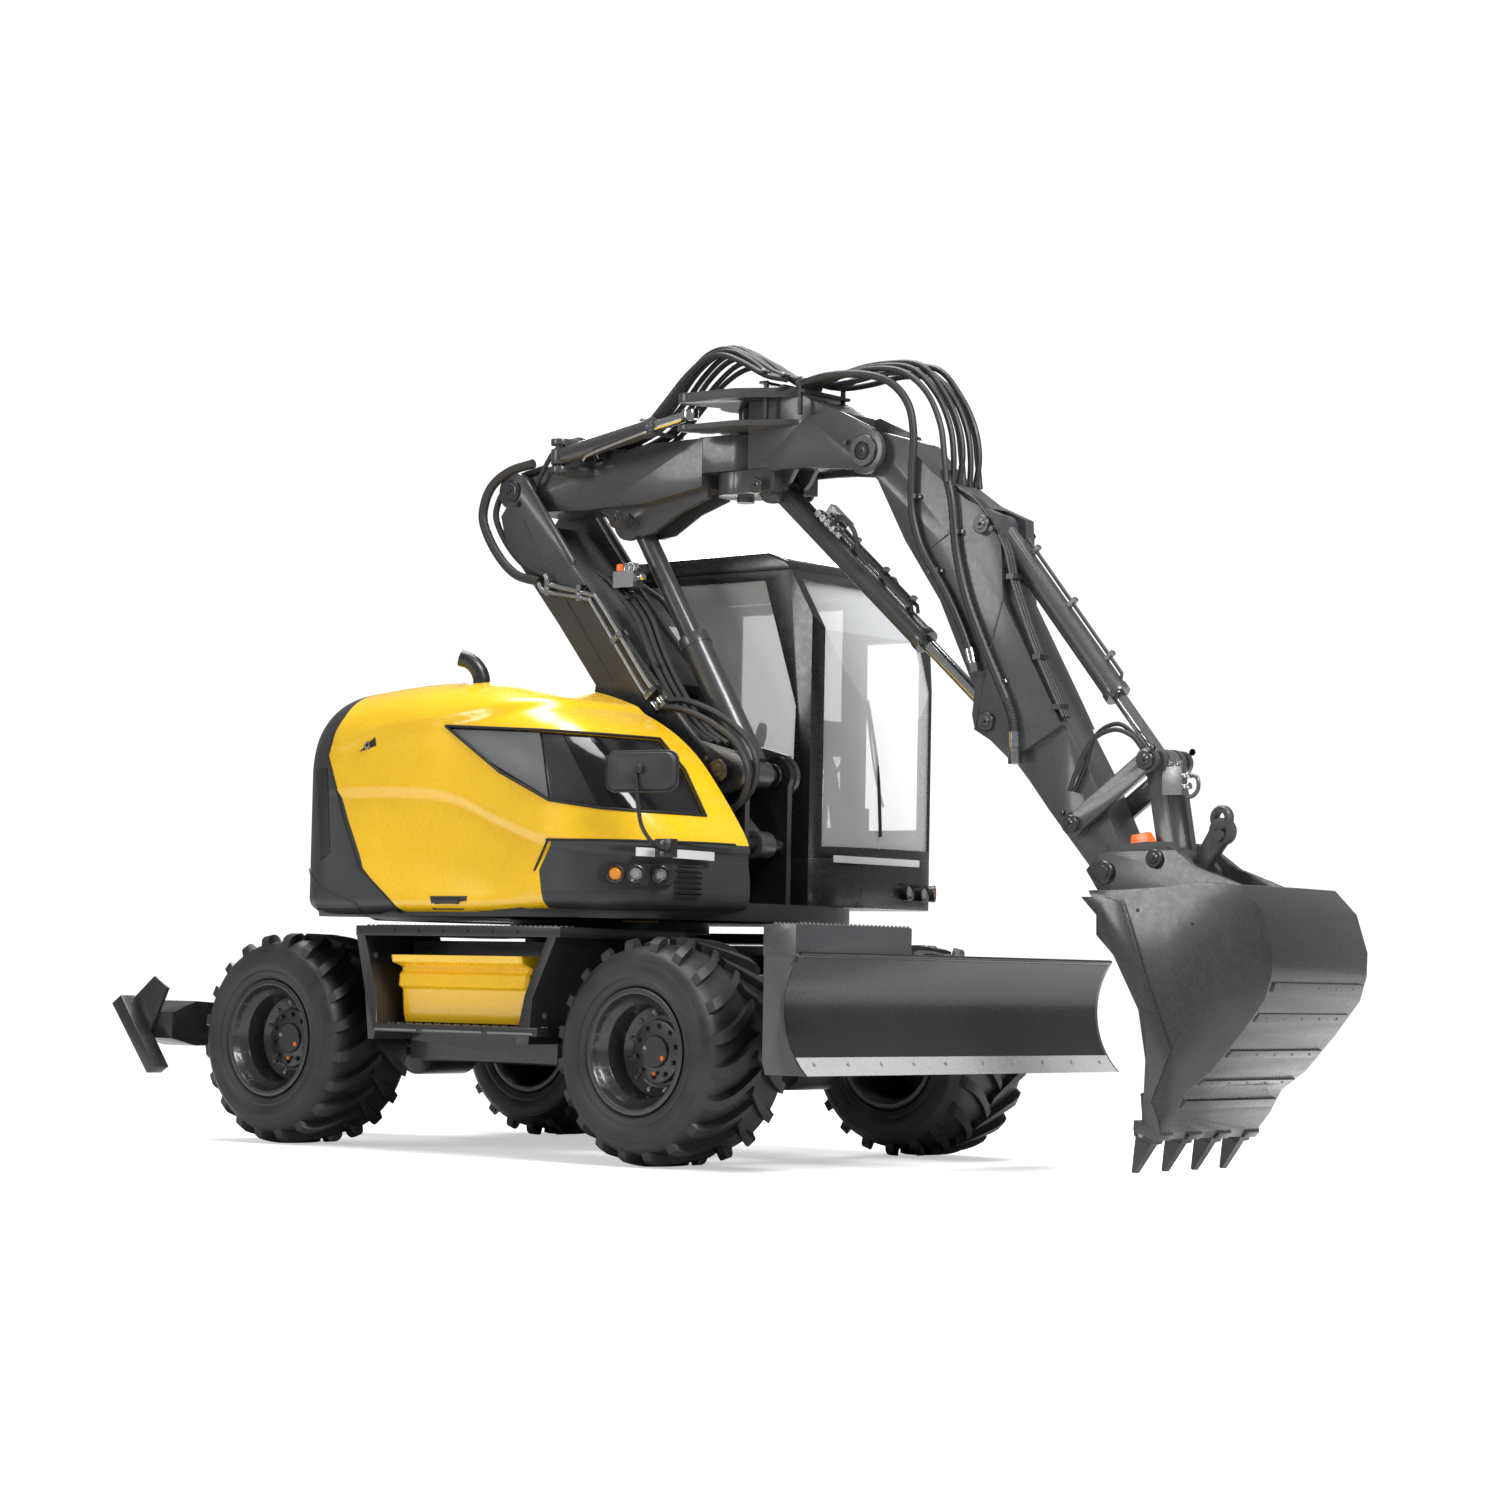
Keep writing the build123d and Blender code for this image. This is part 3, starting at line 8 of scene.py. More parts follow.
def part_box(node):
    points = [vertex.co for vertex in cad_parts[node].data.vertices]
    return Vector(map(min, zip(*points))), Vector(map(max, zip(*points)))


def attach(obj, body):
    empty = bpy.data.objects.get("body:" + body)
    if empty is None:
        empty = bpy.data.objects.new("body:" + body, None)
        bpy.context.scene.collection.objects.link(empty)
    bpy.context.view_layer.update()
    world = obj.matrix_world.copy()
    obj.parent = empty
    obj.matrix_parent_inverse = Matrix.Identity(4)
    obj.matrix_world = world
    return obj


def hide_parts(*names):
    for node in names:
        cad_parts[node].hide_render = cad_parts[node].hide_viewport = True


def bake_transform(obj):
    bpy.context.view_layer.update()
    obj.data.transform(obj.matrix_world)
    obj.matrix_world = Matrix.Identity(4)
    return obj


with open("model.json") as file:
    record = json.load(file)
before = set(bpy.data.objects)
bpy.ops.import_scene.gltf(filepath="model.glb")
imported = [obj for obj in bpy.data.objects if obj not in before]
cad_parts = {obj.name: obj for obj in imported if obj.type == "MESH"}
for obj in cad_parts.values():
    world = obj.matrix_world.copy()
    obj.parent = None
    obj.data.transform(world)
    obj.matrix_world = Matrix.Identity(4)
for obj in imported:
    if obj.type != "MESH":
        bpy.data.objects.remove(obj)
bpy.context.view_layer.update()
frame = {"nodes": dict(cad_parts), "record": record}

# Places are given as the design gives them: millimetres, x from the slew axis, z from the ground.
SLEW_X = -0.8925


def at(x, y, z):
    """A place on the machine, in metres in the frame."""
    return Vector((x / 1000 + SLEW_X, y / 1000, z / 1000))


# Pins of the boom, stick and bucket, as (x, z), and the upright hinge between rear boom and boom head
BASE_PIN, TOP_PIN, LIFT_EYE = (975, 1930), (-560, 3460), (150, 3265)
STICK_PIN, STICK_FOOT, STICK_EYE = (1787, 3490), (1110, 3370), (2510, 2140)
BUCKET_FOOT, BUCKET_PIN, LEVER_PIN = (2480, 3085), (3236, 1420), (3024, 1645)
LINK_PIN, TOOL_PIN = (3426, 1935), (3510, 1480)
OFFSET_HINGE_X = 870

# Camera, solved from the photograph
CAMERA = dict(x=12446, y=-13812, z=904, azimuth=39.82, pitch=3.664, roll=1.109, lens=85.26)


def add_camera():
    azimuth, pitch, roll = (radians(CAMERA[k]) for k in ("azimuth", "pitch", "roll"))
    back = Vector((sin(azimuth) * cos(pitch), -cos(azimuth) * cos(pitch), -sin(pitch)))
    right = (-back).cross(Vector((0, 0, 1))).normalized()
    up = right.cross(-back)
    tilted_right = right * cos(roll) + up * sin(roll)
    tilted_up = up * cos(roll) - right * sin(roll)
    data = bpy.data.cameras.new("camera")
    data.lens = CAMERA["lens"]
    data.sensor_width = 36
    data.clip_end = 500
    camera = bpy.data.objects.new("camera", data)
    turn = Matrix((tilted_right, tilted_up, back)).transposed().to_4x4()
    camera.matrix_world = Matrix.Translation(at(CAMERA["x"], CAMERA["y"], CAMERA["z"])) @ turn
    bpy.context.scene.collection.objects.link(camera)
    bpy.context.scene.camera = camera


# Materials, all from nodes
def shader(name, color, rough, metal=0.0, coat=0.0, sheen=0.0, specular=0.5):
    mat = bpy.data.materials.new(name)
    mat.use_nodes = True
    tree = mat.node_tree
    bsdf = tree.nodes["Principled BSDF"]
    bsdf.inputs["Base Color"].default_value = (*color, 1)
    bsdf.inputs["Roughness"].default_value = rough
    bsdf.inputs["Metallic"].default_value = metal
    bsdf.inputs["Coat Weight"].default_value = coat
    bsdf.inputs["Coat Roughness"].default_value = 0.12
    bsdf.inputs["Specular IOR Level"].default_value = specular
    bsdf.inputs["Sheen Weight"].default_value = sheen
    mat.diffuse_color = (*color, 1)
    return mat, tree, bsdf


def node(tree, kind, **values):
    made = tree.nodes.new(kind)
    for key, value in values.items():
        if key in made.inputs:
            made.inputs[key].default_value = value
        else:
            setattr(made, key, value)
    return made


def noise(tree, scale, detail=6.0, rough=0.6):
    coord = node(tree, "ShaderNodeTexCoord")
    tex = node(tree, "ShaderNodeTexNoise", Scale=scale, Detail=detail, Roughness=rough)
    tree.links.new(coord.outputs["Object"], tex.inputs["Vector"])
    return tex


def ramp(tree, source, stops):
    made = tree.nodes.new("ShaderNodeValToRGB")
    points = made.color_ramp.elements
    while len(points) < len(stops):
        points.new(0.5)
    for point, (place, value) in zip(points, stops):
        point.position = place
        point.color = (*value, 1) if hasattr(value, "__len__") else (value, value, value, 1)
    tree.links.new(source, made.inputs["Fac"])
    return made


def mix(tree, factor, a, b):
    made = node(tree, "ShaderNodeMix", data_type="RGBA")
    tree.links.new(factor, made.inputs["Factor"])
    for index, value in ((6, a), (7, b)):
        if hasattr(value, "is_linked"):
            tree.links.new(value, made.inputs[index])
        else:
            made.inputs[index].default_value = (*value, 1)
    return made.outputs[2]


def bump(tree, bsdf, height, strength, distance):
    made = node(tree, "ShaderNodeBump", Strength=strength, Distance=distance)
    tree.links.new(height, made.inputs["Height"])
    tree.links.new(made.outputs["Normal"], bsdf.inputs["Normal"])
    return made


def product(tree, a, b):
    made = node(tree, "ShaderNodeMath", operation="MULTIPLY")
    tree.links.new(a, made.inputs[0])
    if hasattr(b, "is_linked"):
        tree.links.new(b, made.inputs[1])
    else:
        made.inputs[1].default_value = b
    return made.outputs[0]


def drive(tree, bsdf, socket, source, stops):
    """A ramp over a texture drives one of the shader's sockets."""
    tree.links.new(ramp(tree, source, stops).outputs["Color"], bsdf.inputs[socket])


def shade(color, share):
    return tuple(c * share for c in color)


DUST = (0.20, 0.195, 0.185)


def painted(name, color, rough=0.3, coat=0.3, dust=0.12, dust_top=0.6, grain=0.04):
    """Sprayed paint: slight orange peel, cloudy tone, fine dust that thickens towards the ground."""
    mat, tree, bsdf = shader(name, color, rough, coat=coat)
    lighter = tuple(min(1, c * 1.05 + 0.004) for c in color)
    tone = ramp(tree, noise(tree, 1.3, 5).outputs["Fac"], ((0.35, shade(color, 0.90)), (0.65, lighter)))
    place = node(tree, "ShaderNodeNewGeometry")
    split = node(tree, "ShaderNodeSeparateXYZ")
    tree.links.new(place.outputs["Position"], split.inputs[0])
    height = node(tree, "ShaderNodeMapRange")
    tree.links.new(split.outputs["Z"], height.inputs["Value"])
    height.inputs["From Min"].default_value = dust_top + 1.0
    height.inputs["From Max"].default_value = 0.1
    speck = ramp(tree, noise(tree, 14, 8, 0.7).outputs["Fac"], ((0.42, 0.0), (0.75, 1.0)))
    amount = product(tree, product(tree, height.outputs[0], speck.outputs["Color"]), dust)
    tree.links.new(mix(tree, amount, tone.outputs["Color"], DUST), bsdf.inputs["Base Color"])
    drive(tree, bsdf, "Roughness", noise(tree, 35, 4).outputs["Fac"],
          ((0.3, max(rough - 0.06, 0.03)), (0.7, rough + 0.08)))
    bump(tree, bsdf, noise(tree, 260, 2).outputs["Fac"], grain, 0.002)
    return mat


def rubber(name, color, dust):
    """Black rubber that dry dust greys in patches."""
    mat, tree, bsdf = shader(name, color, 0.5)
    cloud = noise(tree, 3.2, 9, 0.68).outputs["Fac"]
    drive(tree, bsdf, "Base Color", cloud, ((0.38, color), (0.72, tuple(c + dust * 0.22 for c in color))))
    drive(tree, bsdf, "Roughness", cloud, ((0.3, 0.36), (0.7, 0.6)))
    bump(tree, bsdf, noise(tree, 180, 6, 0.7).outputs["Fac"], 0.18, 0.002)
    return mat


def moulded(name, color, rough=0.5, grain=0.22, scale=420):
    """Moulded plastic with a fine leather-like grain."""
    mat, tree, bsdf = shader(name, color, rough, specular=0.42)
    cells = node(tree, "ShaderNodeTexVoronoi", Scale=scale)
    tree.links.new(node(tree, "ShaderNodeTexCoord").outputs["Object"], cells.inputs["Vector"])
    bump(tree, bsdf, cells.outputs["Distance"], grain, 0.001)
    drive(tree, bsdf, "Base Color", noise(tree, 4, 5).outputs["Fac"],
          ((0.3, shade(color, 0.85)), (0.7, shade(color, 1.15))))
    return mat


def bare_metal(name, color, rough, scratch=0.35):
    """Steel with fine turning or rolling marks."""
    mat, tree, bsdf = shader(name, color, rough, metal=1.0)
    lines = noise(tree, 60, 8, 0.75).outputs["Fac"]
    drive(tree, bsdf, "Base Color", lines, ((0.3, shade(color, 0.72)), (0.7, color)))
    drive(tree, bsdf, "Roughness", lines, ((0.25, max(rough - 0.1, 0.04)), (0.75, rough + scratch * 0.4)))
    bump(tree, bsdf, lines, scratch * 0.25, 0.001)
    return mat


def clear_glass(name, tint_and_sheen, alpha):
    """Glazing with a little haze in patches; its colour shows at the alpha's share, which on the cab is a
    painted reflection.
    """
    mat, tree, bsdf = shader(name, tint_and_sheen, 0.03, specular=0.6)
    bsdf.inputs["Alpha"].default_value = alpha
    drive(tree, bsdf, "Roughness", noise(tree, 6, 6).outputs["Fac"], ((0.4, 0.02), (0.8, 0.05)))
    return mat


def fabric(name, color):
    """Woven seat cloth."""
    mat, tree, bsdf = shader(name, color, 0.85, sheen=0.4, specular=0.2)
    weave = node(tree, "ShaderNodeTexWave", Scale=120.0, Distortion=1.5)
    tree.links.new(node(tree, "ShaderNodeTexCoord").outputs["Object"], weave.inputs["Vector"])
    bump(tree, bsdf, weave.outputs["Fac"], 0.4, 0.002)
    drive(tree, bsdf, "Base Color", weave.outputs["Fac"],
          ((0.2, shade(color, 0.7)), (0.8, shade(color, 1.3))))
    return mat


YELLOW = painted("yellow_paint", (0.90, 0.53, 0.004), 0.27, 0.6, 0.01, grain=0.006)
CHARCOAL = painted("charcoal_paint", (0.046, 0.047, 0.050), 0.32, 0.4, 0.03, grain=0.01)
BLACK = painted("black_paint", (0.009, 0.009, 0.010), 0.36, 0.3, 0.05, 0.9)
ORANGE = painted("orange_paint", (0.92, 0.16, 0.012), 0.3, 0.4, 0.05)
CAB_GREY = painted("cab_paint", (0.014, 0.0145, 0.0155), 0.28, 0.45, 0.02, grain=0.0)
RIM_BLACK = painted("rim_paint", (0.020, 0.020, 0.021), 0.32, 0.35, 0.06, 0.8)
TYRE = rubber("tyre_rubber", (0.009, 0.009, 0.0095), 0.10)
HOSE = rubber("hose_rubber", (0.016, 0.016, 0.017), 0.06)
PLASTIC = moulded("dark_plastic", (0.028, 0.028, 0.030), 0.45)
SOFT_PLASTIC = moulded("console_plastic", (0.034, 0.035, 0.037), 0.42)
STEEL = bare_metal("bare_steel", (0.33, 0.33, 0.33), 0.34)
PIN = painted("pin_steel", (0.016, 0.016, 0.017), 0.3, 0.3, 0.02)
CHROME = bare_metal("chrome_rod", (0.62, 0.63, 0.64), 0.14, 0.12)
CAST = painted("cast_iron", (0.045, 0.045, 0.047), 0.55, 0.05, 0.25, grain=0.25)
# Cab glass: near-white and partly opaque, a painted reflection of the bright surroundings on clear glass
GLASS = clear_glass("cab_glazing", (0.93, 0.94, 0.95), 0.30)
DARK_PANE = moulded("dark_pane", (0.006, 0.006, 0.007), 0.12, 0.02)
SEAT = fabric("seat_cloth", (0.035, 0.036, 0.040))
TAIL_GREY = painted("tail_moulding", (0.028, 0.029, 0.031), 0.45, 0.1, 0.08, grain=0.2)
TREAD = painted("tread_steel", (0.12, 0.12, 0.125), 0.4, 0.05, 0.2)
SATIN = painted("satin_black", (0.014, 0.014, 0.015), 0.22, 0.2, 0.01, grain=0.0)
BUCKET_GREY = painted("bucket_paint", (0.027, 0.0275, 0.029), 0.27, 0.4, 0.03, grain=0.01)
# Cutting edge: light grey paint in place of bare steel, a painted reflection of the bright surroundings
EDGE_PAINTED_REFLECTION = painted("ground_edge_painted_reflection", (0.46, 0.46, 0.465), 0.25, 0.3, 0.02)
RUBBER_SEAL = moulded("rubber_seal", (0.008, 0.008, 0.009), 0.6, 0.05)
GRILLE = moulded("grille_mesh", (0.012, 0.012, 0.013), 0.55, 0.9, 90)
BLANK = painted("blank_plate", (0.11, 0.112, 0.115), 0.35, 0.15, 0.02)
PALE = painted("pale_plate", (0.62, 0.63, 0.64), 0.35, 0.2, 0.03)
LENS = clear_glass("lamp_lens", (0.55, 0.57, 0.58), 0.35)
AMBER = clear_glass("amber_lens", (0.95, 0.34, 0.03), 0.75)


BY_NODE = (
    # start of the node's name, material; the first that fits counts
    ("tyre_", TYRE), ("rim_", RIM_BLACK), ("front_axle", BLACK), ("rear_axle", BLACK), ("knuckle_", BLACK),
    ("chassis_frame", BLACK), ("side_steps", BLACK), ("tool_boxes", YELLOW), ("blade_rod", CHROME),
    ("blade_", BLACK), ("blade", CHARCOAL), ("stabiliser", BLACK), ("turret_frame", BLACK),
    ("counterweight", BLACK), ("engine_hood", YELLOW), ("front_console", SOFT_PLASTIC),
    ("left_cover", YELLOW),
    ("engine_block", CAST), ("cab_glass", GLASS), ("door_glass", GLASS), ("cab_seat", SEAT),
    ("cab_", CAB_GREY),
    ("exhaust", CAST), ("mirror", PLASTIC), ("hood_window", DARK_PANE), ("work_lamps", PLASTIC),
    ("main_hose", HOSE), ("lift_rod", CHARCOAL), ("link_rod", CHROME), ("offset_rod", CHROME),
    ("stick_rod", CHROME), ("bucket_rod", CHROME), ("quick_hitch", CAST), ("bucket_", CHARCOAL),
    ("bucket", BUCKET_GREY), ("", CHARCOAL),
)

for name, piece in frame["nodes"].items():
    piece.data.materials.clear()
    piece.data.materials.append(next(mat for start, mat in BY_NODE if name.startswith(start)))

# Studio: white surroundings that only the camera sees at full strength, a pale floor and four soft lights
AMBIENT, BACKDROP = 0.30, 1.1
FLOOR_RADIUS, FLOOR_GLOW = 11.5, 0.50
LIGHTS = (
    # name, place, aim, size, power
    ("key", (9, -3, 9), (0, 0, 1.5), 5, 1350),
    ("fill", (-6, -13, 6), (0, 0, 1.2), 5, 430),
    ("top", (-1, 1, 12), (0, 0, 0), 8, 1500),
    ("rim", (-8, 9, 7), (0, 0, 2), 5, 700),
)


def add_world():
    world = bpy.data.worlds.new("studio")
    world.use_nodes = True
    tree = world.node_tree
    soft = tree.nodes["Background"]
    bright = node(tree, "ShaderNodeBackground")
    for light, strength in ((soft, AMBIENT), (bright, BACKDROP)):
        light.inputs["Color"].default_value = (1.0, 1.0, 1.0, 1)
        light.inputs["Strength"].default_value = strength
    seen = node(tree, "ShaderNodeLightPath")
    pick = node(tree, "ShaderNodeMixShader")
    tree.links.new(seen.outputs["Is Camera Ray"], pick.inputs[0])
    tree.links.new(soft.outputs[0], pick.inputs[1])
    tree.links.new(bright.outputs[0], pick.inputs[2])
    tree.links.new(pick.outputs[0], tree.nodes["World Output"].inputs["Surface"])
    bpy.context.scene.world = world
    bpy.context.scene.view_settings.view_transform = "Standard"


def add_floor():
    mesh = bpy.data.meshes.new("floor")
    shape = bmesh.new()
    bmesh.ops.create_circle(shape, cap_ends=True, segments=96, radius=FLOOR_RADIUS)
    shape.to_mesh(mesh)
    shape.free()
    floor = bpy.data.objects.new("floor", mesh)
    bpy.context.scene.collection.objects.link(floor)
    mat, tree, bsdf = shader("floor_paint", (0.80, 0.80, 0.80), 0.75, specular=0.2)
    bsdf.inputs["Emission Color"].default_value = (1, 1, 1, 1)
    seen = node(tree, "ShaderNodeLightPath")
    tree.links.new(product(tree, seen.outputs["Is Camera Ray"], FLOOR_GLOW), bsdf.inputs["Emission Strength"])
    drive(tree, bsdf, "Base Color", noise(tree, 0.4, 3).outputs["Fac"], ((0.3, 0.79), (0.7, 0.82)))
    mesh.materials.append(mat)


def add_lights():
    for name, place, aim, size, power in LIGHTS:
        data = bpy.data.lights.new(name, "AREA")
        data.shape = "DISK"
        data.size = size
        data.energy = power
        lamp = bpy.data.objects.new(name, data)
        lamp.location = place
        lamp.rotation_euler = (Vector(aim) - Vector(place)).to_track_quat("-Z", "Y").to_euler()
        bpy.context.scene.collection.objects.link(lamp)


add_camera()
add_world()
add_floor()
add_lights()


# Mesh building
class Shape:
    """Faces of one piece, in the design's millimetres, with a material to each face."""

    def __init__(self, *mats):
        self.mats = mats
        self.verts = []
        self.faces = []

    def add(self, verts, faces, mat=0, place=None):
        start = len(self.verts)
        if place is not None:
            verts = [place @ Vector(v) for v in verts]
        self.verts.extend(Vector(v) for v in verts)
        self.faces.extend((tuple(start + i for i in face), mat) for face in faces)
        return self

    def plate(self, outline, y0, y1, mat=0):
        """Flat plate over an outline of (x, z) points, between two planes of constant y."""
        count = len(outline)
        verts = [(x, y0, z) for x, z in outline] + [(x, y1, z) for x, z in outline]
        sides = [(i, (i + 1) % count, count + (i + 1) % count, count + i) for i in range(count)]
        return self.add(verts, [tuple(range(count)), tuple(reversed(range(count, 2 * count)))] + sides, mat)

    def block(self, low, high, mat=0, place=None):
        (x0, y0, z0), (x1, y1, z1) = low, high
        verts = [(x, y, z) for x in (x0, x1) for y in (y0, y1) for z in (z0, z1)]
        faces = [(0, 1, 3, 2), (4, 6, 7, 5), (0, 4, 5, 1), (2, 3, 7, 6), (0, 2, 6, 4), (1, 5, 7, 3)]
        return self.add(verts, faces, mat, place)

    def lathe(self, profile, centre, axis=(0, 1, 0), segments=32, mat=0):
        """Revolves (along the axis, radius) points; a radius of 0 closes an end."""
        place = placed(centre, Vector(axis).normalized())
        verts, faces, rings = [], [], []
        for along, radius in profile:
            if radius < 1e-6:
                rings.append([len(verts)])
                verts.append((0, 0, along))
            else:
                rings.append(list(range(len(verts), len(verts) + segments)))
                for i in range(segments):
                    a = 2 * pi * i / segments
                    verts.append((radius * cos(a), radius * sin(a), along))
        for one, two in zip(rings, rings[1:]):
            for i in range(segments):
                j = (i + 1) % segments
                if len(one) == 1 and len(two) == 1:
                    continue
                if len(one) == 1:
                    faces.append((one[0], two[j], two[i]))
                elif len(two) == 1:
                    faces.append((one[i], one[j], two[0]))
                else:
                    faces.append((one[i], one[j], two[j], two[i]))
        return self.add(verts, faces, mat, place)

    def disc(self, centre, radius, thick, axis=(0, 1, 0), segments=32, mat=0, chamfer=2.0):
        """Round boss or pin end with chamfered rims, centred on its place."""
        half = thick / 2
        edge = min(chamfer, half * 0.6, radius * 0.3)
        profile = ((-half, 0), (-half, radius - edge), (-half + edge, radius), (half - edge, radius),
                   (half, radius - edge), (half, 0))
        return self.lathe(profile, centre, axis, segments, mat)

    def bolt(self, centre, across, height, axis=(0, 1, 0), mat=0, washer=True):
        """Hexagon head on a washer, standing out along the axis."""
        if washer:
            self.lathe(((0, 0), (0, across * 0.72), (height * 0.18, across * 0.72), (height * 0.18, 0)),
                       centre, axis,
                       16, mat)
        self.lathe(((0, 0), (0, across * 0.56), (height * 0.86, across * 0.56), (height, across * 0.48),
                    (height, 0)), centre, axis, 6, mat)
        return self

    def tube(self, points, radius, sides=10, mat=0, smooth=6, closed_ends=True, ribs=None):
        """Round hose or pipe through points; smooth is the number of steps between points, 0 for straight."""
        path = [Vector(p) for p in points]
        if smooth and len(path) > 2:
            path = curve(path, smooth)
        frame_side = None
        verts, faces = [], []
        for i, p in enumerate(path):
            ahead = (path[min(i + 1, len(path) - 1)] - path[max(i - 1, 0)]).normalized()
            if frame_side is None:
                frame_side = ahead.orthogonal().normalized()
            frame_side = (frame_side - ahead * frame_side.dot(ahead)).normalized()
            other = ahead.cross(frame_side)
            r = radius if ribs is None else radius * (1 + ribs * (i % 2))
            for k in range(sides):
                a = 2 * pi * k / sides
                verts.append(p + frame_side * (r * cos(a)) + other * (r * sin(a)))
        for i in range(len(path) - 1):
            for k in range(sides):
                j = (k + 1) % sides
                faces.append((i * sides + k, i * sides + j, (i + 1) * sides + j, (i + 1) * sides + k))
        if closed_ends:
            faces.append(tuple(reversed(range(sides))))
            faces.append(tuple(range((len(path) - 1) * sides, len(path) * sides)))
        return self.add(verts, faces, mat)

    def mesh(self, name):
        """The mesh of the faces, in metres in the frame."""
        mesh = bpy.data.meshes.new(name)
        mesh.from_pydata([at(*v) for v in self.verts], [], [face for face, mat in self.faces])
        for mat in self.mats:
            mesh.materials.append(mat)
        for poly, (face, mat) in zip(mesh.polygons, self.faces):
            poly.material_index = mat
        return mesh

    def build(self, name, body, bevel=0.0, steps=2, angle=32, replaces=None, between=None):
        """Makes the object and lets it ride on a body; with between given it stays unattached in the frame.
        """
        mesh = self.mesh(name)
        if bevel:
            shape = bmesh.new()
            shape.from_mesh(mesh)
            bmesh.ops.recalc_face_normals(shape, faces=shape.faces)
            break_edges(shape, bevel, steps, 28)
            shape.to_mesh(mesh)
            shape.free()
        return finish_piece(mesh, name, body, angle, replaces, between)


def placed(centre, axis):
    """Matrix that carries +Z to an axis at a place."""
    return Matrix.Translation(Vector(centre)) @ Vector(axis).to_track_quat("Z", "Y").to_matrix().to_4x4()


def curve(path, steps):
    """Catmull-Rom points through a path."""
    made = []
    for i in range(len(path) - 1):
        p0 = path[i - 1] if i else path[0] * 2 - path[1]
        p1, p2 = path[i], path[i + 1]
        p3 = path[i + 2] if i + 2 < len(path) else path[-1] * 2 - path[-2]
        for k in range(steps):
            t = k / steps
            made.append(0.5 * ((2 * p1) + (p2 - p0) * t + (2 * p0 - 5 * p1 + 4 * p2 - p3) * t * t
                               + (3 * p1 - p0 - 3 * p2 + p3) * t ** 3))
    made.append(path[-1])
    return made


def break_edges(shape, width, steps, angle):
    """Rounds the edges that turn more than an angle, by a width in mm."""
    sharp = [e for e in shape.edges if len(e.link_faces) == 2 and e.calc_face_angle(0) > radians(angle)]
    bmesh.ops.bevel(shape, geom=sharp, offset=width / 1000, segments=steps, profile=0.6, affect="EDGES",
                    clamp_overlap=True)


def finish_piece(mesh, name, body, angle=32, replaces=None, between=None):
    """Object with smooth shading up to an angle; between is (body, body, start, end), whose entries are not
    used: when it is given, the object stays unattached in the frame.
    """
    shape = bmesh.new()
    shape.from_mesh(mesh)
    bmesh.ops.recalc_face_normals(shape, faces=shape.faces)
    shape.to_mesh(mesh)
    shape.free()
    mesh.polygons.foreach_set("use_smooth", [True] * len(mesh.polygons))
    mesh.set_sharp_from_angle(angle=radians(angle))
    made = bpy.data.objects.new(name, mesh)
    bpy.context.scene.collection.objects.link(made)
    if between:
        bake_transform(made)
    else:
        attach(made, body)
    if replaces:
        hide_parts(replaces)
    return made


def body_of(name):
    bodies = frame["record"]["behaviour"]["bodies"]
    return next(body for body, members in bodies.items() if name in members)


def edged(name, width, trim=None):
    """The CAD node's own form with its edges broken, which stands for the node; trim cuts it at a plane."""
    mesh = frame["nodes"][name].data.copy()
    mesh.name = name + "_edged"
    shape = bmesh.new()
    shape.from_mesh(mesh)
    bmesh.ops.remove_doubles(shape, verts=shape.verts, dist=0.00002)
    bmesh.ops.dissolve_limit(shape, angle_limit=radians(0.8), verts=shape.verts, edges=shape.edges)
    if trim:
        place, normal = trim
        cut = bmesh.ops.bisect_plane(shape, geom=list(shape.verts) + list(shape.edges) + list(shape.faces),
                                     plane_co=at(*place), plane_no=normal, clear_outer=True, dist=0.00001)
        rim = [e for e in cut["geom_cut"] if isinstance(e, bmesh.types.BMEdge)]
        bmesh.ops.contextual_create(shape, geom=rim)
    break_edges(shape, width, 2, 30)
    low, high = (Vector(corner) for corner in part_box(name))
    for vert in shape.verts:
        vert.co = Vector(min(max(vert.co[k], low[k]), high[k]) for k in range(3))
    shape.to_mesh(mesh)
    shape.free()
    return finish_piece(mesh, name + "_edged", body_of(name), 30, name)


# Tyres: a lathed carcass with curved tread bars, and the wheel's bolts
WHEELS = (
    # corner, x of the axle, side of the machine
    ("front_left", 1300, 1), ("front_right", 1300, -1), ("rear_left", -1227, 1), ("rear_right", -1227, -1),
)
WHEEL_Y, WHEEL_Z = 975, 545
HUB_FACE = 1097
TREAD_ROWS = 20
BAR_STEPS = 9
BAR_REACH = 300
SHOULDER = 0.86  # share of a bar at which it turns down the side wall
SIDE_WALL = (
    # from the tyre's middle plane, radius, from the rim to the middle of the tread
    (-257, 287), (-258, 302), (-272, 306), (-283, 318), (-289, 340), (-286, 352), (-294, 372), (-296.5, 400),
    (-294, 425), (-291, 428), (-291, 436), (-288, 440), (-278, 458), (-262, 474), (-240, 487), (-200, 497),
    (-140, 503), (-60, 507), (0, 508),
)


